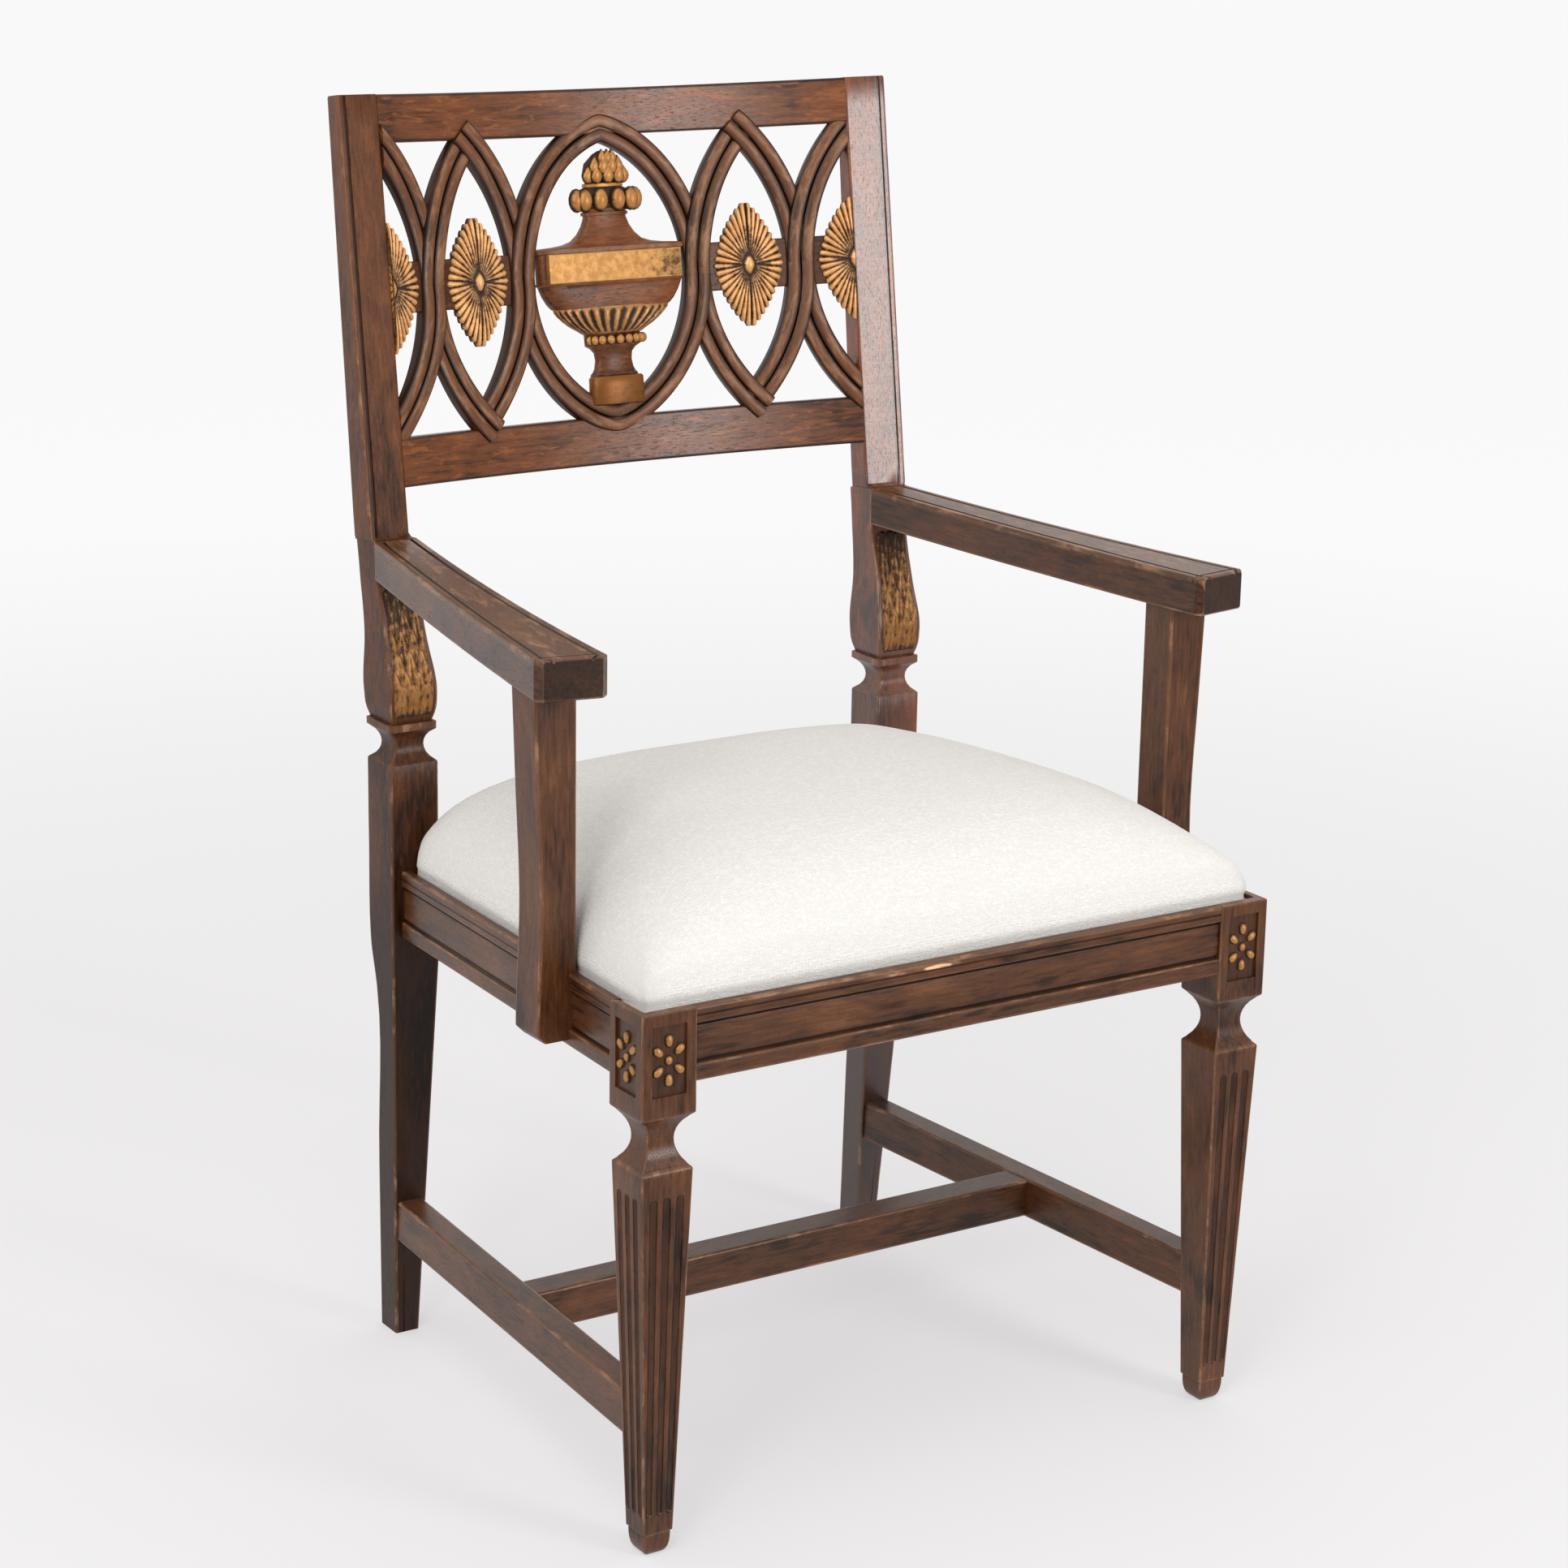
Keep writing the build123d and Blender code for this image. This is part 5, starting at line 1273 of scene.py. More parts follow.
def urn_gilt_carving():
    """Gilded carving of the urn: bead ring, lobed collar and leaf finial, eggs set round half circles."""
    carved = []
    for angle in np.radians(np.linspace(-78, 78, 9)):
        carved.append(back_boss(24.5 * sin(angle), 764, 2 + 8.5 * cos(angle), 3.9, 3.9, 3.4))
    for angle in (-86, -54, -18, 18, 54, 86):
        x, lift = 25.5 * sin(radians(angle)), 0.5 + 6.5 * cos(radians(angle))
        grow = 1.12 if abs(angle) > 80 else 1.0
        carved.append(back_boss(x, 870.5, lift, 6.4 * grow, 9.2, 6.2))
    collar = [(862, 20, 5, 0), (866, 25, 7.5, 0), (876, 25, 7.5, 0), (880, 17, 6, 0)]
    ring = [(879.6, 15, 6, 0.3), (880.4, 17.2, 8, 1), (882.6, 17.2, 8, 1), (883.4, 15, 6, 0.3)]
    core = [(883, 14, 6, 0), (889, 17, 8, 0), (898, 14.5, 7.5, 0), (905, 7, 4, 0), (907.5, 2, 2, 0)]
    # Collar and finial core darkened between the gilded eggs and leaves, as grime and painted shade.
    carved += [turned(collar, dirt_and_shade=0.8), turned(ring, back=1.0), turned(core, dirt_and_shade=0.8)]
    for z, places, tall, wide in (
        (889.5, (-70, -36, 0, 36, 70), 7.2, 5.4),
        (896.5, (-52, -17, 17, 52), 7.4, 5.2),
        (902.5, (-26, 26, 0), 6.2, 4.4),
    ):
        spread = np.interp(z, (889, 903), (17, 10))
        for angle in np.radians(places):
            carved.append(back_boss(spread * sin(angle), z, 1.5 + 6.5 * cos(angle), wide, tall, 3.6, 0.75))
    return joined(carved)


def urn_body():
    """Dark wood of the urn: stem, band with turned-back ends, lid and neck."""
    stem = [(735, 21, 7, 0.3), (737.5, 20.4, 8, 0.8), (739.2, 18.6, 7.4, 0.3), (742, 17, 7, 0)]
    stem += [(748, 15.8, 6.6, 0), (754, 16.6, 7, 0), (757.5, 20, 8, 0.4), (759.6, 24, 9, 0.7)]
    stem += [(768, 24.4, 9, 0.3), (769.6, 26, 10, 0.5)]
    band = [(789, 51.4, 12.6, 0.4), (793, 55.6, 12.9, 0), (799, 59.6, 13, 0), (804, 62, 13, 0)]
    band += [(806.6, 63, 13, 0.3), (807.4, 65, 13.6, 0.8), (808.6, 65.4, 13.8, 0.7), (809, 64, 13.3, 0)]
    band += [(831, 64, 13.3, 0)]
    band += [(831.6, 66, 13.9, 0.8), (834.6, 66.2, 13.9, 0.9), (835.4, 64, 13, 0.6)]
    lid = [(836.4, 48, 12, 0), (837.6, 38.5, 11, 0), (840, 30.6, 10, 0), (845, 24.6, 9, 0)]
    neck = [(851, 20.4, 8.2, 0), (857, 18, 7.6, 0), (858.4, 18, 7.6, 0), (858.8, 19.6, 8.4, 0.6)]
    neck += [(861, 19.6, 8.4, 0.6), (861.6, 18, 7.6, 0), (864, 17.4, 7.4, 0)]
    return joined([turned(stem), turned(band + lid + neck, square=0.62)])


def urn_bowl(gadroons):
    """Gadrooned bowl of the urn: upright lobes round its front."""
    rows = [(769, 26, 10, 0), (771, 28.5, 11, 0.2), (775, 35.5, 12.2, 0.5), (779, 41, 13, 0.6)]
    rows += [(783, 45.6, 13.4, 0.6), (786, 48.5, 13.5, 0.5), (788.4, 50.4, 13.4, 0.6), (789.6, 51, 12.8, 0.3)]
    return turned(rows, lobes=gadroons, lobe_rows=(769, 789.5), back=1.0)


def vase_leafage(sign):
    """Leaves on the vase's front: a height field of upright leaves in rows, tips over the next row's feet.

    A leaf is as wide as its foot times a falling power of its height, and stands out more towards its tip.
    """
    foot_z, head_z, margin = 505, 603, 3.2
    u = np.linspace(-1, 1, 57)[None]
    z = np.linspace(foot_z, head_z, 111)[:, None]
    x_in, x_out, y_front = vase_edges(z)
    y_front = STILE_Y + y_front
    across = u * ((x_out - x_in) / 2 - margin)
    height = np.zeros(np.broadcast_shapes(u.shape, z.shape)) - 0.6
    shade = np.ones_like(height)
    for foot, places, wide, tall in (
        (506, (-10.5, 0.5, 10.8), 6.8, 25),
        (515, (-14.5, -5.2, 5.6, 14.6), 6.4, 26),
        (530, (-9.6, 0.2, 10.2), 6.3, 26),
        (545, (-13.2, -4.6, 5, 13), 5.9, 26),
        (561, (-9.4, 0.4, 9.2), 5.7, 25),
        (575, (-12, -4.2, 4.4, 12.2), 5.4, 25),
        (588, (-7.6, 0.3, 8), 5.2, 18),
    ):
        rise = np.clip((z - foot) / tall, -0.2, 1)
        reach = wide * np.maximum(1 - np.maximum(rise, 0) ** 2.4, 1e-3) ** 0.7
        for place in places:
            aside = np.abs(across - place) / reach
            inside = np.where((rise >= -0.1) & (rise < 1), 1 - aside**2, -1)
            leaf = (0.7 + 2.4 * np.maximum(rise, 0)) * np.maximum(inside, 0) ** 0.45
            leaf = leaf - 0.7 * np.exp(-((aside / 0.16) ** 2)) * (1 - 0.6 * np.maximum(rise, 0))
            higher = (inside > 0) & (leaf > height)
            height = np.where(higher, leaf, height)
            vein = np.exp(-((aside / 0.12) ** 2)) + 0.6 * np.abs(np.sin(6 * rise + 5 * aside)) ** 6
            # Painted shade: the gaps between the leaves, their edges and veins are dark.
            shade = np.where(higher, np.clip(0.8 - 1.4 * inside, 0, 1) + 0.4 * vein, shade)
    mottle = 0.18 * np.sin(0.9 * across + 0.31 * z) * np.sin(0.47 * z - 0.6 * across + 1.3)
    # Mottled, and darker at the foot and towards the top.
    shade = 0.62 * shade + mottle + np.interp(z, (505, 513, 535, 575, 602), (0.7, 0.0, 0.08, 0.3, 0.8))
    border = np.clip((z - foot_z) / 2, 0, 1) * np.clip((head_z - z) / 2, 0, 1)
    border = border * np.clip((1 - np.abs(u)) / 0.06, 0, 1)
    height = height * border - (1 - border) * 1.5
    x = 0 * height + sign * ((x_in + x_out) / 2 + across)
    y = y_front - height
    front = np.stack([x, y, 0 * height + z], -1)
    back = front.copy()
    back[..., 1] = y_front + 3.0
    behind = height.size
    index = np.arange(behind).reshape(height.shape)
    sheet = np.stack([index[:-1, :-1], index[:-1, 1:], index[1:, 1:], index[1:, :-1]], -1).reshape(-1, 4)
    rim = np.concatenate([index[0, :-1], index[:-1, -1], index[-1, :0:-1], index[:0:-1, 0]])
    after = np.roll(rim, -1)
    walls = np.stack([after, rim, rim + behind, after + behind], -1)
    points = np.concatenate([front.reshape(-1, 3), back.reshape(-1, 3)])
    quads = np.concatenate([sheet, sheet[:, ::-1] + behind, walls])
    # Painted highlight: the leaf tips standing out most are marked as high places.
    high = np.clip((height - 1.2) / 1.8, 0, 1).ravel()
    wear_and_highlight, recess_and_shade = (np.concatenate([front_only, 0 * high]) for front_only in (high, shade.ravel()))
    return Skin(points, quads, (), wear_and_highlight, points[:, [2, 0, 1]], recess_and_shade)


def seat_line(y):
    """Height of the seat's rim at a depth: a straight line falling from the front of the pad to its rear."""
    return PAD_LOW[2] + PAD_SUNK - SEAT_FALL * (y - PAD_LOW[1]) / (PAD_HIGH[1] - PAD_LOW[1])


def cushion_plan(power, inset):
    """A rounded plan of the seat, inset all round: a superellipse laid on the seat's taper. Returns x, y."""
    angle = np.linspace(0, 2 * pi, 720, endpoint=False)
    c, s = np.cos(angle), np.sin(angle)
    reach = (np.abs(c) ** power + np.abs(s) ** power) ** (-1 / power)
    y = (PAD_LOW[1] + PAD_HIGH[1]) / 2 + ((PAD_HIGH[1] - PAD_LOW[1]) / 2 - inset) * s * reach
    return c * reach * (seat_half(y) - inset), y


def seat_half(y):
    """Half width of the drop-in seat at a depth."""
    return np.interp(y, (PAD_LOW[1], PAD_HIGH[1]), (PAD_HIGH[0], RAIL_REAR_X - PAD_REAR_GAP))


def cushion_start():
    """Seat pad before filling: a skirt over the seat frame, a low wall, then a crown drawn in to its top.

    The crown rises by one less a power of the share of the half width, times one less a power of the share of
    the depth, all to a root; the depth is measured from the crown's top, and its power is larger behind it.
    """
    rows = []
    under = ((-2, 40, 90), (-SKIRT, 36, 90), (-SKIRT, 0.2, 90))
    wall = ((0, -FIT, 90), (4, -FIT, 80), (CROWN_FOOT, -0.2, 64))
    for rise, inset, power in under + wall:
        x, y = cushion_plan(power, inset)
        rows.append(np.stack([x, y, seat_line(y) + rise], -1))
    rim_x, rim_y = cushion_plan(48, 0.2)
    front_y, rear_y = PAD_LOW[1], PAD_HIGH[1]
    top_y = front_y + CROWN_PLACE * (rear_y - front_y)
    for share in (0.997, 0.99, 0.975, 0.95, 0.915, 0.87, 0.81, 0.73, 0.63, 0.51, 0.38, 0.25, 0.12, 0.03):
        x, y = rim_x * share, top_y + (rim_y - top_y) * share
        depth = np.where(y > top_y, (y - top_y) / (rear_y - top_y), (top_y - y) / (top_y - front_y))
        fall = np.where(y > top_y, 5.8, 3.3)
        crown = np.maximum(1 - np.abs(x / seat_half(y)) ** 4.1, 0) * np.maximum(1 - depth**fall, 0)
        rise = CROWN_FOOT + (CROWN_HEIGHT - CROWN_FOOT) * crown**0.3
        rows.append(np.stack([x, y, seat_line(y) + rise], -1))
    return tube(np.array(rows))


def blown_up(pad, points, pressure):
    """Where the pad's points go when it is blown up as cloth, with its lower edge tacked down."""
    scene = bpy.context.scene
    tacks = pad.vertex_groups.new(name="tacked")
    tacked_up_to = 11
    held = points[:, 2] / MM < seat_line(points[:, 1] / MM) + tacked_up_to
    tacks.add(np.nonzero(held)[0].tolist(), 1.0, "REPLACE")
    cloth = pad.modifiers.new("Filling", "CLOTH")
    cloth.settings.use_pressure = True
    cloth.settings.uniform_pressure_force = pressure
    cloth.settings.vertex_group_mass = "tacked"
    cloth.settings.effector_weights.gravity = 0
    cloth.settings.tension_stiffness = 30
    cloth.settings.compression_stiffness = 15
    cloth.settings.quality = 5
    cloth.point_cache.frame_end = FILLING_FRAMES
    for step in range(1, FILLING_FRAMES + 1):
        scene.frame_set(step)
    shaped = pad.evaluated_get(bpy.context.evaluated_depsgraph_get()).to_mesh()
    moved = read_rows(shaped.vertices)
    pad.modifiers.clear()
    pad.vertex_groups.clear()
    scene.frame_set(1)
    return moved


def filled_cushion(seat):
    """Fill the pad: it is remeshed and blown up; its motion is capped and evened out between neighbours."""
    mesh = mesh_of("seat_cushion", cushion_start())
    pad = bpy.data.objects.new("seat_cushion", mesh)
    bpy.context.scene.collection.objects.link(pad)
    bpy.context.view_layer.objects.active = pad
    pad.select_set(True)
    mesh.remesh_voxel_size = 0.006
    mesh.use_remesh_preserve_volume = True
    bpy.ops.object.voxel_remesh()
    mesh = pad.data
    before = read_rows(mesh.vertices)
    move = blown_up(pad, before, seat.pressure) - before
    size = np.linalg.norm(move, axis=1, keepdims=True)
    move = move * np.minimum(1, seat.swell * (1 - np.exp(-size / seat.swell)) / np.maximum(size, 1e-9))
    ends = np.empty(len(mesh.edges) * 2, np.int32)
    mesh.edges.foreach_get("vertices", ends)
    first, second = ends.reshape(-1, 2).T
    count = len(before)
    near = np.bincount(ends, minlength=count)[:, None]
    for _ in range(EVENING):
        spread = [np.bincount(first, m[second], count) + np.bincount(second, m[first], count) for m in move.T]
        move = 0.5 * move + 0.5 * np.stack(spread, -1) / near
    mesh.vertices.foreach_set("co", (before + move).astype(np.float32).ravel())
    mesh.update()
    return pad


def smoothed_cushion(pad):
    """The filled pad's final mesh: its crown smoothed, its faces split once, kept to the plan of the seat.

    Its sides stand on the plan's edge, swell a little just above the rim, and end at the skirt's foot.
    """
    start = read_rows(pad.data.vertices)
    over_rim = start[:, 2] / MM > seat_line(start[:, 1] / MM) + 3
    pad.vertex_groups.new(name="crown").add(np.nonzero(over_rim)[0].tolist(), 1.0, "REPLACE")
    smooth = pad.modifiers.new("Smooth", "SMOOTH")
    smooth.factor, smooth.iterations, smooth.vertex_group = 0.5, 6, "crown"
    fine = pad.modifiers.new("Fine", "SUBSURF")
    fine.levels = fine.render_levels = 1
    made = bpy.data.meshes.new_from_object(pad.evaluated_get(bpy.context.evaluated_depsgraph_get()))
    pad.modifiers.clear()
    pad.vertex_groups.clear()
    x, y, z = read_rows(made.vertices).T / MM
    rise = z - seat_line(y)
    swell = CROWN_OVERHANG * np.clip((rise - 1.5) / 4, 0, 1) * np.exp(-(((rise - 14) / 18) ** 2))
    edge = seat_half(y) + FIT
    front = np.clip((y - PAD_HIGH[1]) / (PAD_LOW[1] - PAD_HIGH[1]), 0, 1)
    x = np.clip(x, -edge, edge) + np.sign(x) * swell * np.clip(np.abs(x) / edge, 0, 1) ** 12
    z = np.maximum(z, seat_line(y) - SKIRT)
    y = np.clip(y, PAD_LOW[1] - FIT, PAD_HIGH[1] + FIT) - swell * front**16
    made.vertices.foreach_set("co", (np.stack([x, y, z], -1) * MM).astype(np.float32).ravel())
    made.polygons.foreach_set("use_smooth", np.ones(len(made.polygons), bool))
    made.update()
    return made


def lay_weave(mesh, top_z):
    """Paint where the threads lie: seen from above, the sides folded out flat by how far they drop."""
    place, lean = read_rows(mesh.vertices), read_rows(mesh.vertex_normals, "vector")
    outwards = lean[:, :2] / np.maximum(np.linalg.norm(lean[:, :2], axis=1), 1e-6)[:, None]
    drop = (top_z - place[:, 2:]) * outwards * np.clip(1.2 - np.abs(lean[:, 2:]), 0, 1)
    flat = np.concatenate([place[:, :2] + drop, place[:, 2:]], 1).astype(np.float32)
    mesh.attributes.new("grain", "FLOAT_VECTOR", "POINT").data.foreach_set("vector", flat.ravel())


def put_cushion():
    """The stuffed seat in its woven cover, riding on the drop-in seat."""
    pad = filled_cushion(bpy.context.scene.chair_seat)
    pad.data = smoothed_cushion(pad)
    lay_weave(pad.data, PAD_HIGH[2] * MM)
    pad.data.materials.clear()
    pad.data.materials.append(finish_named("seat_weave"))
    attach(pad, "drop_in_seat")
    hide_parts("seat_pad")


# Operators that make the pieces


class CHAIR_OT_front_legs(Operator):
    """Fluted front legs with sunk panels, and the gilded rosettes in them"""

    bl_idname = "chair.front_legs"
    bl_label = "Front legs"

    def execute(self, context):
        carving = context.scene.chair_carving
        seat, middle_z = PANEL_SINK + 0.2, 366
        for side, sign in SIDES:
            leg = front_leg(sign, carving.flute_depth)
            put_piece(f"fluted_leg_{side}", leg, finish_named("dark_oak"), (f"front_leg_{side}",))
            front, outside = (LEG_X, FRONT_Y + seat, middle_z), (LEG_X + LEG_HALF - seat, LEG_Y, middle_z)
            faces = ((front, (0, -1, 0)), (outside, (sign, 0, 0)))
            flowers = [rosette((sign * x, y, z), out, carving.rosette_petals) for (x, y, z), out in faces]
            put_piece(f"rosettes_{side}", joined(flowers), finish_named("petal_gilt"))
        return {"FINISHED"}


class CHAIR_OT_rear_legs(Operator):
    """Rear legs running up into the stiles, with gilded leafage on their vases"""

    bl_idname = "chair.rear_legs"
    bl_label = "Rear legs"

    def execute(self, context):
        for side, sign in SIDES:
            # The right stile takes the lighter oak as a painted reflection.
            oak = finish_named("stile_oak" if side == "right" else "plain_stile_oak")
            put_piece(f"stile_{side}", rear_leg(sign), oak, (f"rear_leg_{side}",))
            put_piece(f"leafage_{side}", vase_leafage(sign), finish_named("rubbed_gilt"), crease=60)
        return {"FINISHED"}


class CHAIR_OT_seat_rails(Operator):
    """Moulded seat rails round the seat"""

    bl_idname = "chair.seat_rails"
    bl_label = "Seat rails"

    def execute(self, context):
        oak = finish_named("dark_oak")
        into_leg = 0.5
        reach, face_y = LEG_LOW[0] + into_leg, FRONT_Y + FACE_SETBACK
        rubs = ((150, 26, 0.7), (197, 15, 2.4), (160, 10, 0.8), (60, 30, 0.4), (330, 40, 0.4))
        front = seat_rail((-reach, face_y, RAIL_BOTTOM), (reach, face_y, RAIL_BOTTOM), (0, -1, 0), rubs)
        put_piece("moulded_rail_front", front, oak, ("front_seat_rail",), crease=25)
        for side, sign in SIDES:
            size = hypot(1, RAIL_TURN)
            rail = seat_rail(
                (sign * (RAIL_FRONT_X + 0.05), RAIL_FRONT_Y - into_leg, RAIL_BOTTOM),
                (sign * (RAIL_REAR_X - 0.05), STILE_Y + into_leg, RAIL_BOTTOM - SEAT_FALL),
                (sign / size, RAIL_TURN / size, 0),
            )
            put_piece(f"moulded_rail_{side}", rail, oak, (f"side_seat_rail_{side}",), crease=25)
        low, high = cad_box("rear_seat_rail")
        _, middle_y, middle_z = (low + high) / 2
        reach, half_thick, half_z = 201.0, 12, (high[2] - low[2]) / 2
        bar = straight_bar((-reach, middle_y, middle_z), (reach, middle_y, middle_z), half_thick, half_z, 1.5)
        put_piece("back_seat_rail", bar, oak, ("rear_seat_rail",))
        return {"FINISHED"}


class CHAIR_OT_stretchers(Operator):
    """Plain squared stretchers between the legs"""

    bl_idname = "chair.stretchers"
    bl_label = "Stretchers"

    def execute(self, context):
        oak = finish_named("dark_oak")
        rear_x, half_thick, into_side = 219, 10.5, 6
        for side, sign in SIDES:
            low, high = cad_box(f"side_stretcher_{side}")
            middle_z, half_z = (low[2] + high[2]) / 2, (high[2] - low[2]) / 2
            front, rear = (sign * LEG_X, low[1], middle_z), (sign * rear_x, high[1], middle_z)
            bar = straight_bar(front, rear, half_thick, half_z)
            put_piece(f"stretcher_{side}", bar, oak, (f"side_stretcher_{side}",))
        low, high = cad_box("medial_stretcher")
        (_, middle_y, middle_z), (_, half_y, half_z) = (low + high) / 2, (high - low) / 2
        reach = high[0] - into_side
        bar = straight_bar((-reach, middle_y, middle_z), (reach, middle_y, middle_z), half_y, half_z)
        put_piece("stretcher_middle", bar, oak, ("medial_stretcher",))
        return {"FINISHED"}


class CHAIR_OT_arms(Operator):
    """Flat shaped arms and the waisted posts that carry them"""

    bl_idname = "chair.arms"
    bl_label = "Arms and posts"

    def execute(self, context):
        oak = finish_named("dark_oak")
        for side, sign in SIDES:
            put_piece(f"shaped_arm_{side}", arm(sign), finish_named("arm_oak"), (f"arm_{side}",))
            put_piece(f"waisted_post_{side}", arm_post(sign), oak, (f"arm_post_{side}",))
        return {"FINISHED"}


class CHAIR_OT_back(Operator):
    """Bowed crest rail and lower rail, and the interlaced lattice between them"""

    bl_idname = "chair.back"
    bl_label = "Back rails and lattice"

    def execute(self, context):
        carving = context.scene.chair_carving
        oak = finish_named("back_oak")
        reach = STILE_INNER + 0.4
        crest = back_rail(-reach, reach, CREST_BOTTOM, BACK_TOP - 0.2)
        put_piece("bowed_crest", crest, oak, ("crest_rail",))
        put_piece("bowed_lower_rail", back_rail(-reach, reach, *LOW_RAIL), oak, ("lower_back_rail",))
        width, depth = carving.band_width / MM, carving.interlace / MM
        bands = [oval_band(OVAL_HALF, PANEL_HALF + OVAL_PAST, width, depth)]
        pointed = (VESICA_HALF, PANEL_HALF - VESICA_SHORT, width, depth)
        bar_reach, bar_half = 34, 19
        bar = (LATTICE_RISE - bar_half, LATTICE_RISE + bar_half, -6.8, -1.6, 1.2, 0.55)
        for sign in (-1, 1):
            middle, outer = sign * VESICA_X, sign * HALF_VESICA_X
            bands += [arc_band(middle, way, *pointed) for way in (-1, 1)]
            bands.append(arc_band(outer, -sign, *pointed, STILE_INNER))
            bands.append(back_rail(middle - bar_reach, middle + bar_reach, *bar))
            bands.append(back_rail(*sorted((outer - sign * bar_reach, sign * STILE_INNER)), *bar))
        banded = finish_named("lattice_oak")
        put_piece("interlaced_bands", joined(bands), banded, ("back_lattice",), crease=32)
        return {"FINISHED"}


class CHAIR_OT_urn(Operator):
    """Carved urn in the middle of the back, its gilded parts apart"""

    bl_idname = "chair.urn"
    bl_label = "Urn"

    def execute(self, context):
        bowl = urn_bowl(context.scene.chair_carving.gadroons)
        put_piece("urn_body", urn_body(), finish_named("lattice_oak"), ("urn",))
        put_piece("urn_gadroons", bowl, finish_named("gadroon_gilt"), crease=50)
        put_piece("urn_gilt_band", urn_gilt_band(), finish_named("bright_gilt"))
        put_piece("urn_plinth", urn_plinth(), finish_named("plinth_gilt"))
        put_piece("urn_gilt_carving", urn_gilt_carving(), finish_named("carved_gilt"), crease=50)
        return {"FINISHED"}


class CHAIR_OT_paterae(Operator):
    """Gilded paterae in the pointed ovals, whole and halved"""

    bl_idname = "chair.paterae"
    bl_label = "Paterae"

    def execute(self, context):
        flutes = context.scene.chair_carving.patera_flutes
        gilt = finish_named("patera_gilt")
        for side, sign in SIDES:
            for node, x, stop_x in (("patera", VESICA_X, None), ("half_patera", HALF_VESICA_X, STILE_INNER)):
                flower = patera(sign * x, PATERA_HALF_WIDE, PATERA_HALF_TALL, flutes, stop_x)
                put_piece(f"carved_{node}_{side}", flower, gilt, (f"{node}_{side}",), crease=60)
        return {"FINISHED"}


class CHAIR_OT_cushion(Operator):
    """Stuffed drop-in seat, filled as cloth and covered in a cream weave"""

    bl_idname = "chair.cushion"
    bl_label = "Seat cushion"

    def execute(self, context):
        put_cushion()
        return {"FINISHED"}


class CHAIR_OT_hidden_parts(Operator):
    """Finishes for the frame's own hidden parts: blocks, seat frame, webbing, dust cover, screws and tacks"""

    bl_idname = "chair.hidden_parts"
    bl_label = "Hidden parts"

    def execute(self, context):
        for name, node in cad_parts.items():
            if node.hide_render:
                continue
            kind = "frame_beech"
            if "screw" in name or "tack" in name:
                kind = "screw_steel"
            elif "webbing" in name:
                kind = "jute_webbing"
            elif "dust_cover" in name:
                kind = "black_lining"
            node.data.materials.clear()
            node.data.materials.append(finish_named(kind))
        return {"FINISHED"}


class CHAIR_OT_stage(Operator):
    """Pale floor, soft studio light and the camera"""

    bl_idname = "chair.stage"
    bl_label = "Stage"

    def execute(self, context):
        scene = context.scene
        put_floor(scene.chair_finish.floor)
        put_lights(scene)
        put_camera(scene)
        return {"FINISHED"}


def put_floor(colour):
    """A wide pale floor that glows a little, paling far away, and is clear from below.

    Its front is darker in reflections, like a dark room.
    """
    mesh = bpy.data.meshes.new("studio_floor")
    reach = 60.0
    corners = [(x * reach, y * reach, 0) for x, y in ((-1, -1), (1, -1), (1, 1), (-1, 1))]
    mesh.from_pydata(corners, [], [(0, 1, 2, 3)])
    floor = bpy.data.objects.new("studio_floor", mesh)
    bpy.context.scene.collection.objects.link(floor)
    made, t, put = new_finish("pale_floor")
    place = t.node("ShaderNodeTexCoord").outputs["Object"]
    length = t.node("ShaderNodeVectorMath", operation="LENGTH")
    axes = t.node("ShaderNodeSeparateXYZ")
    t.join(place, length.inputs[0])
    t.join(place, axes.inputs[0])
    far = t.ramp(length.outputs["Value"], 0.8, 3.5)
    mirrored = t.node("ShaderNodeLightPath").outputs["Is Glossy Ray"]
    dim = t.math("MULTIPLY", t.ramp(axes.outputs["Y"], -1.4, -0.35, 0.75, 0.0), mirrored)
    t.join(t.mix(dim, (0.3, 0.3, 0.303, 1), (0.05, 0.05, 0.05, 1)), put["Base Color"])
    glow = t.mix(far, rgb(colour), (0.66, 0.66, 0.672, 1))
    t.join(t.mix(dim, glow, (0, 0, 0, 1)), put["Emission Color"])
    put["Emission Strength"].default_value = 1.0
    put["Roughness"].default_value = 0.85
    put["Specular IOR Level"].default_value = 0.1
    clear = t.node("ShaderNodeMixShader")
    t.join(t.node("ShaderNodeNewGeometry").outputs["Backfacing"], clear.inputs[0])
    t.join(put["Base Color"].node.outputs[0], clear.inputs[1])
    t.join(t.node("ShaderNodeBsdfTransparent").outputs[0], clear.inputs[2])
    t.join(clear.outputs[0], made.node_tree.get_output_node("ALL").inputs[0])
    made.cycles.emission_sampling = "NONE"
    mesh.materials.append(made)


def set_down(thing, right, up, back, place):
    """Turn and move a lamp or a camera, which looks away from back with right and up in its view."""
    thing.matrix_world = Matrix([[right[k], up[k], back[k], place[k]] for k in range(3)] + [[0, 0, 0, 1]])


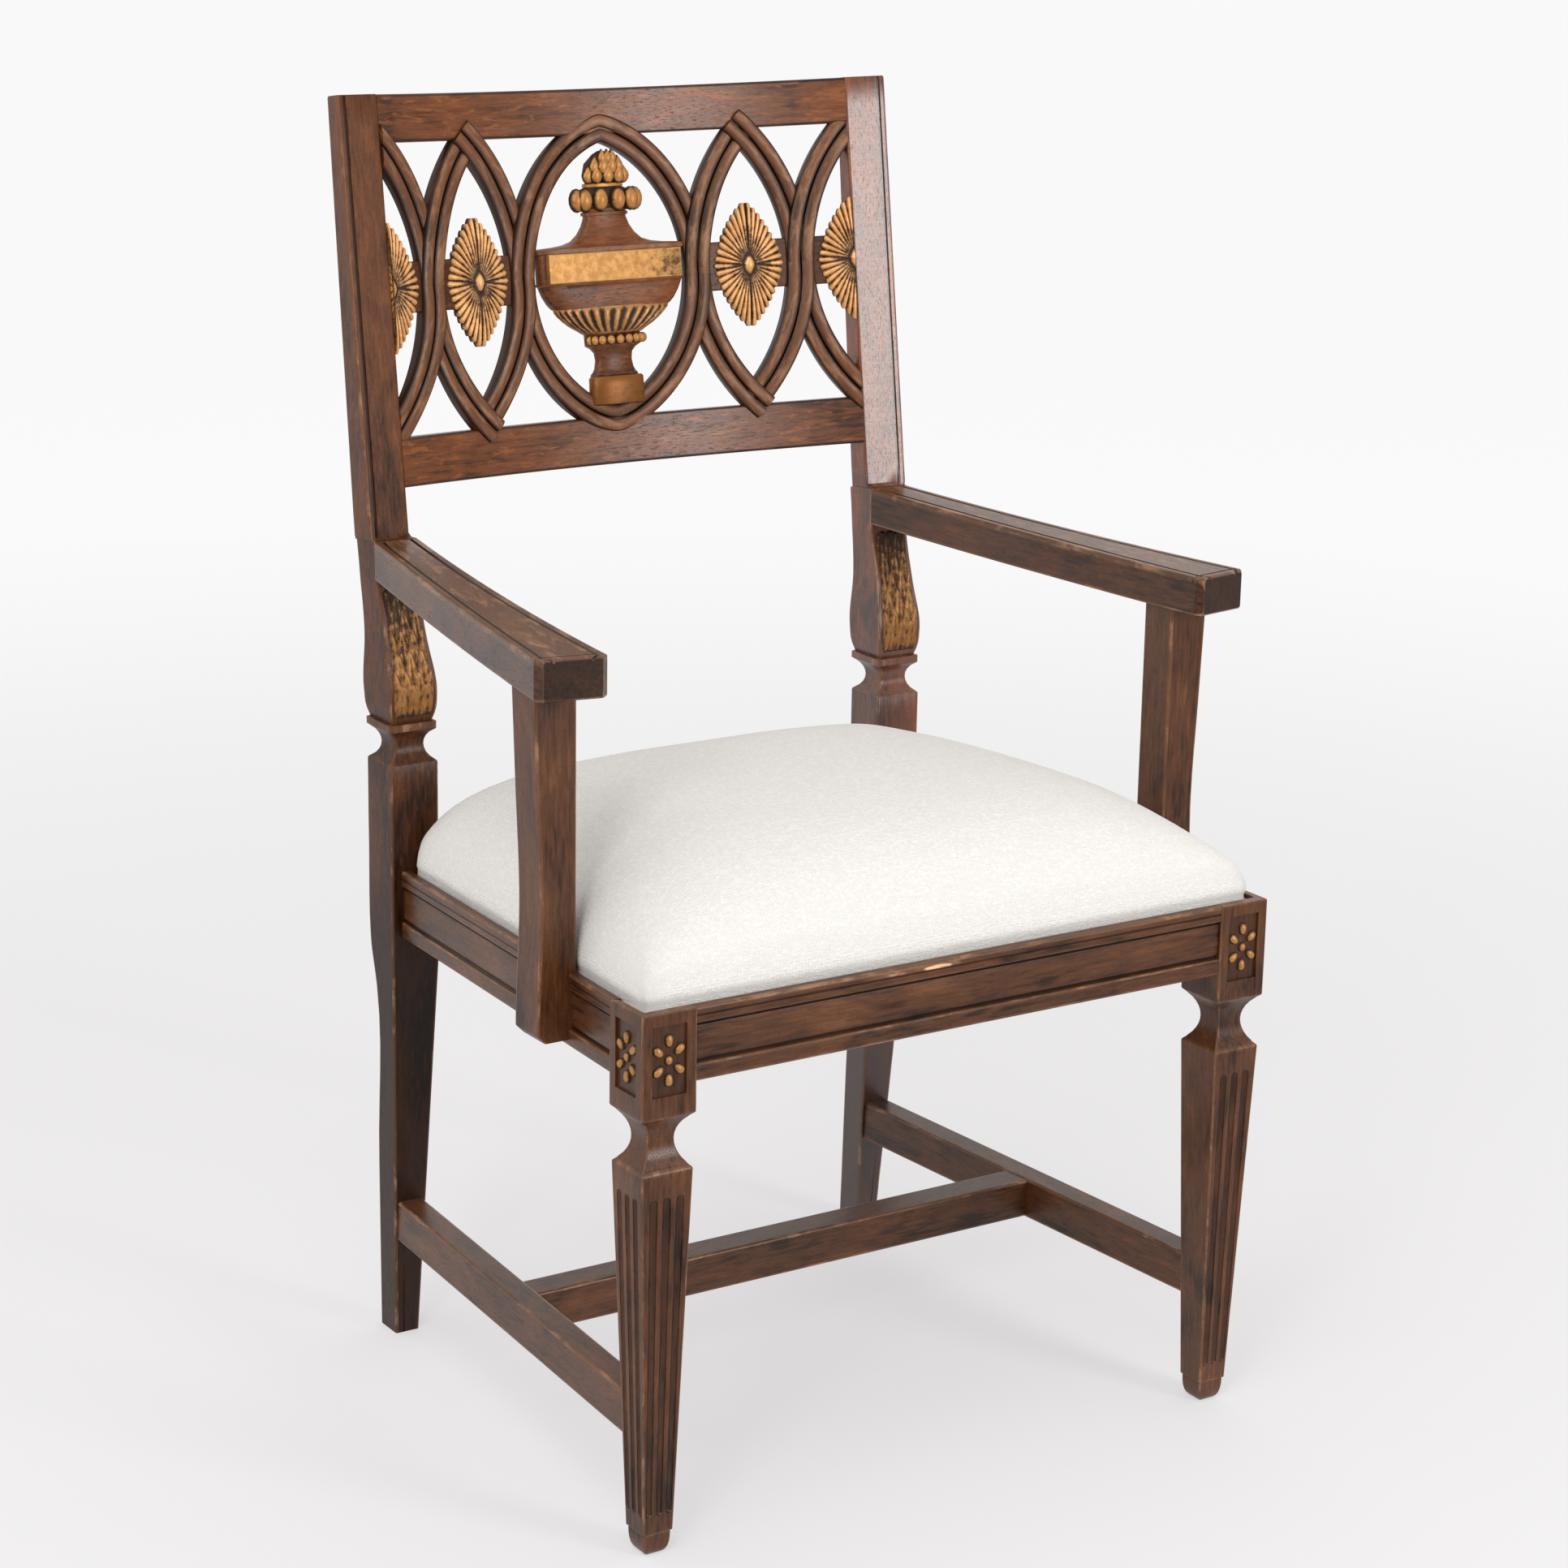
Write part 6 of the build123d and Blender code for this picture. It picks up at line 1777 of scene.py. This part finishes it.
def put_lights(scene):
    """A white room, darker low in front; soft lights high and lower on the left, a tall one on the right."""
    world = bpy.data.worlds.new("white_room")
    scene.world = world
    world.use_nodes = True
    t = Tree(world.node_tree)
    sky = world.node_tree.nodes["Background"].inputs
    sky["Color"].default_value = (1.0, 0.985, 0.965, 1)
    axes = t.node("ShaderNodeSeparateXYZ")
    t.join(t.node("ShaderNodeTexCoord").outputs["Generated"], axes.inputs[0])
    ahead = t.ramp(axes.outputs["Y"], -0.85, 0.0, 0.2, 1.0)
    glow = t.math("MAXIMUM", ahead, t.ramp(axes.outputs["Z"], 0.3, 0.8))
    seen = t.node("ShaderNodeLightPath").outputs["Is Camera Ray"]
    t.join(t.math("MULTIPLY", t.math("MAXIMUM", glow, seen), 0.98), sky["Strength"])
    for name, place, aim, wide, tall, power in (
        ("key_light", (-1.5, -1.1, 2.9), (0, 0, 0.4), 1.8, 1.8, 22),
        ("side_light", (-2.3, -1.9, 1.75), (0, 0, 0.45), 0.7, 0.7, 26),
        ("front_light", (1.3, -3.1, 1.25), (0.15, 0.15, 0.75), 0.8, 1.4, 57),
    ):
        lamp = bpy.data.lights.new(name, "AREA")
        lamp.shape = "RECTANGLE"
        lamp.size, lamp.size_y, lamp.energy = wide, tall, power
        lamp.color = (1.0, 0.985, 0.97)
        light = bpy.data.objects.new(name, lamp)
        scene.collection.objects.link(light)
        back = np.array(place, float) - np.array(aim, float)
        back = back / np.linalg.norm(back)
        right = np.cross(UP, back)
        right = right / np.linalg.norm(right)
        set_down(light, right, np.cross(back, right), back, place)
    scene.view_settings.view_transform = "Standard"


def put_camera(scene):
    """Camera in front of the chair on the left: turned by yaw, then pitch, then roll."""
    yaw, pitch, roll = radians(-33.2005), radians(-15.3964), radians(1.02195)
    right = np.array((cos(yaw), sin(yaw), 0))
    ahead = np.array((-sin(yaw) * cos(pitch), cos(yaw) * cos(pitch), sin(pitch)))
    up = np.cross(right, ahead)
    side = right * cos(roll) + up * sin(roll)
    top = up * cos(roll) - right * sin(roll)
    place = (-1.460678, -2.257994, 1.199782)
    lens = bpy.data.cameras.new("camera")
    lens.lens, lens.sensor_width = 85.25, 36
    camera = bpy.data.objects.new("camera", lens)
    scene.collection.objects.link(camera)
    set_down(camera, side, top, -ahead, place)
    scene.camera = camera


PIECES = (
    CHAIR_OT_front_legs,
    CHAIR_OT_rear_legs,
    CHAIR_OT_seat_rails,
    CHAIR_OT_stretchers,
    CHAIR_OT_arms,
    CHAIR_OT_back,
    CHAIR_OT_urn,
    CHAIR_OT_paterae,
    CHAIR_OT_cushion,
    CHAIR_OT_hidden_parts,
    CHAIR_OT_stage,
)


class CHAIR_PT_panel(Panel):
    """The chair's settings and the buttons that make its pieces"""

    bl_idname = "CHAIR_PT_panel"
    bl_label = "Open-arm chair"
    bl_space_type = "VIEW_3D"
    bl_region_type = "UI"
    bl_category = "Chair"

    def draw(self, context):
        for group in (context.scene.chair_finish, context.scene.chair_carving, context.scene.chair_seat):
            box = self.layout.box()
            for key in group.__annotations__:
                box.prop(group, key)
        for piece in PIECES:
            self.layout.operator(piece.bl_idname)


CLASSES = (ChairFinish, ChairCarving, ChairSeat, *PIECES, CHAIR_PT_panel)


def register():
    """Make the classes and the chair's settings known to Blender."""
    for each in CLASSES:
        bpy.utils.register_class(each)
    bpy.types.Scene.chair_finish = PointerProperty(type=ChairFinish)
    bpy.types.Scene.chair_carving = PointerProperty(type=ChairCarving)
    bpy.types.Scene.chair_seat = PointerProperty(type=ChairSeat)


def unregister():
    """Take the settings and the classes away again."""
    for key in ("chair_finish", "chair_carving", "chair_seat"):
        delattr(bpy.types.Scene, key)
    for each in reversed(CLASSES):
        bpy.utils.unregister_class(each)


def main():
    """Make every piece in order."""
    register()
    bpy.ops.chair.front_legs()
    bpy.ops.chair.rear_legs()
    bpy.ops.chair.seat_rails()
    bpy.ops.chair.stretchers()
    bpy.ops.chair.arms()
    bpy.ops.chair.back()
    bpy.ops.chair.urn()
    bpy.ops.chair.paterae()
    bpy.ops.chair.cushion()
    bpy.ops.chair.hidden_parts()
    bpy.ops.chair.stage()


if __name__ == "__main__":
    main()
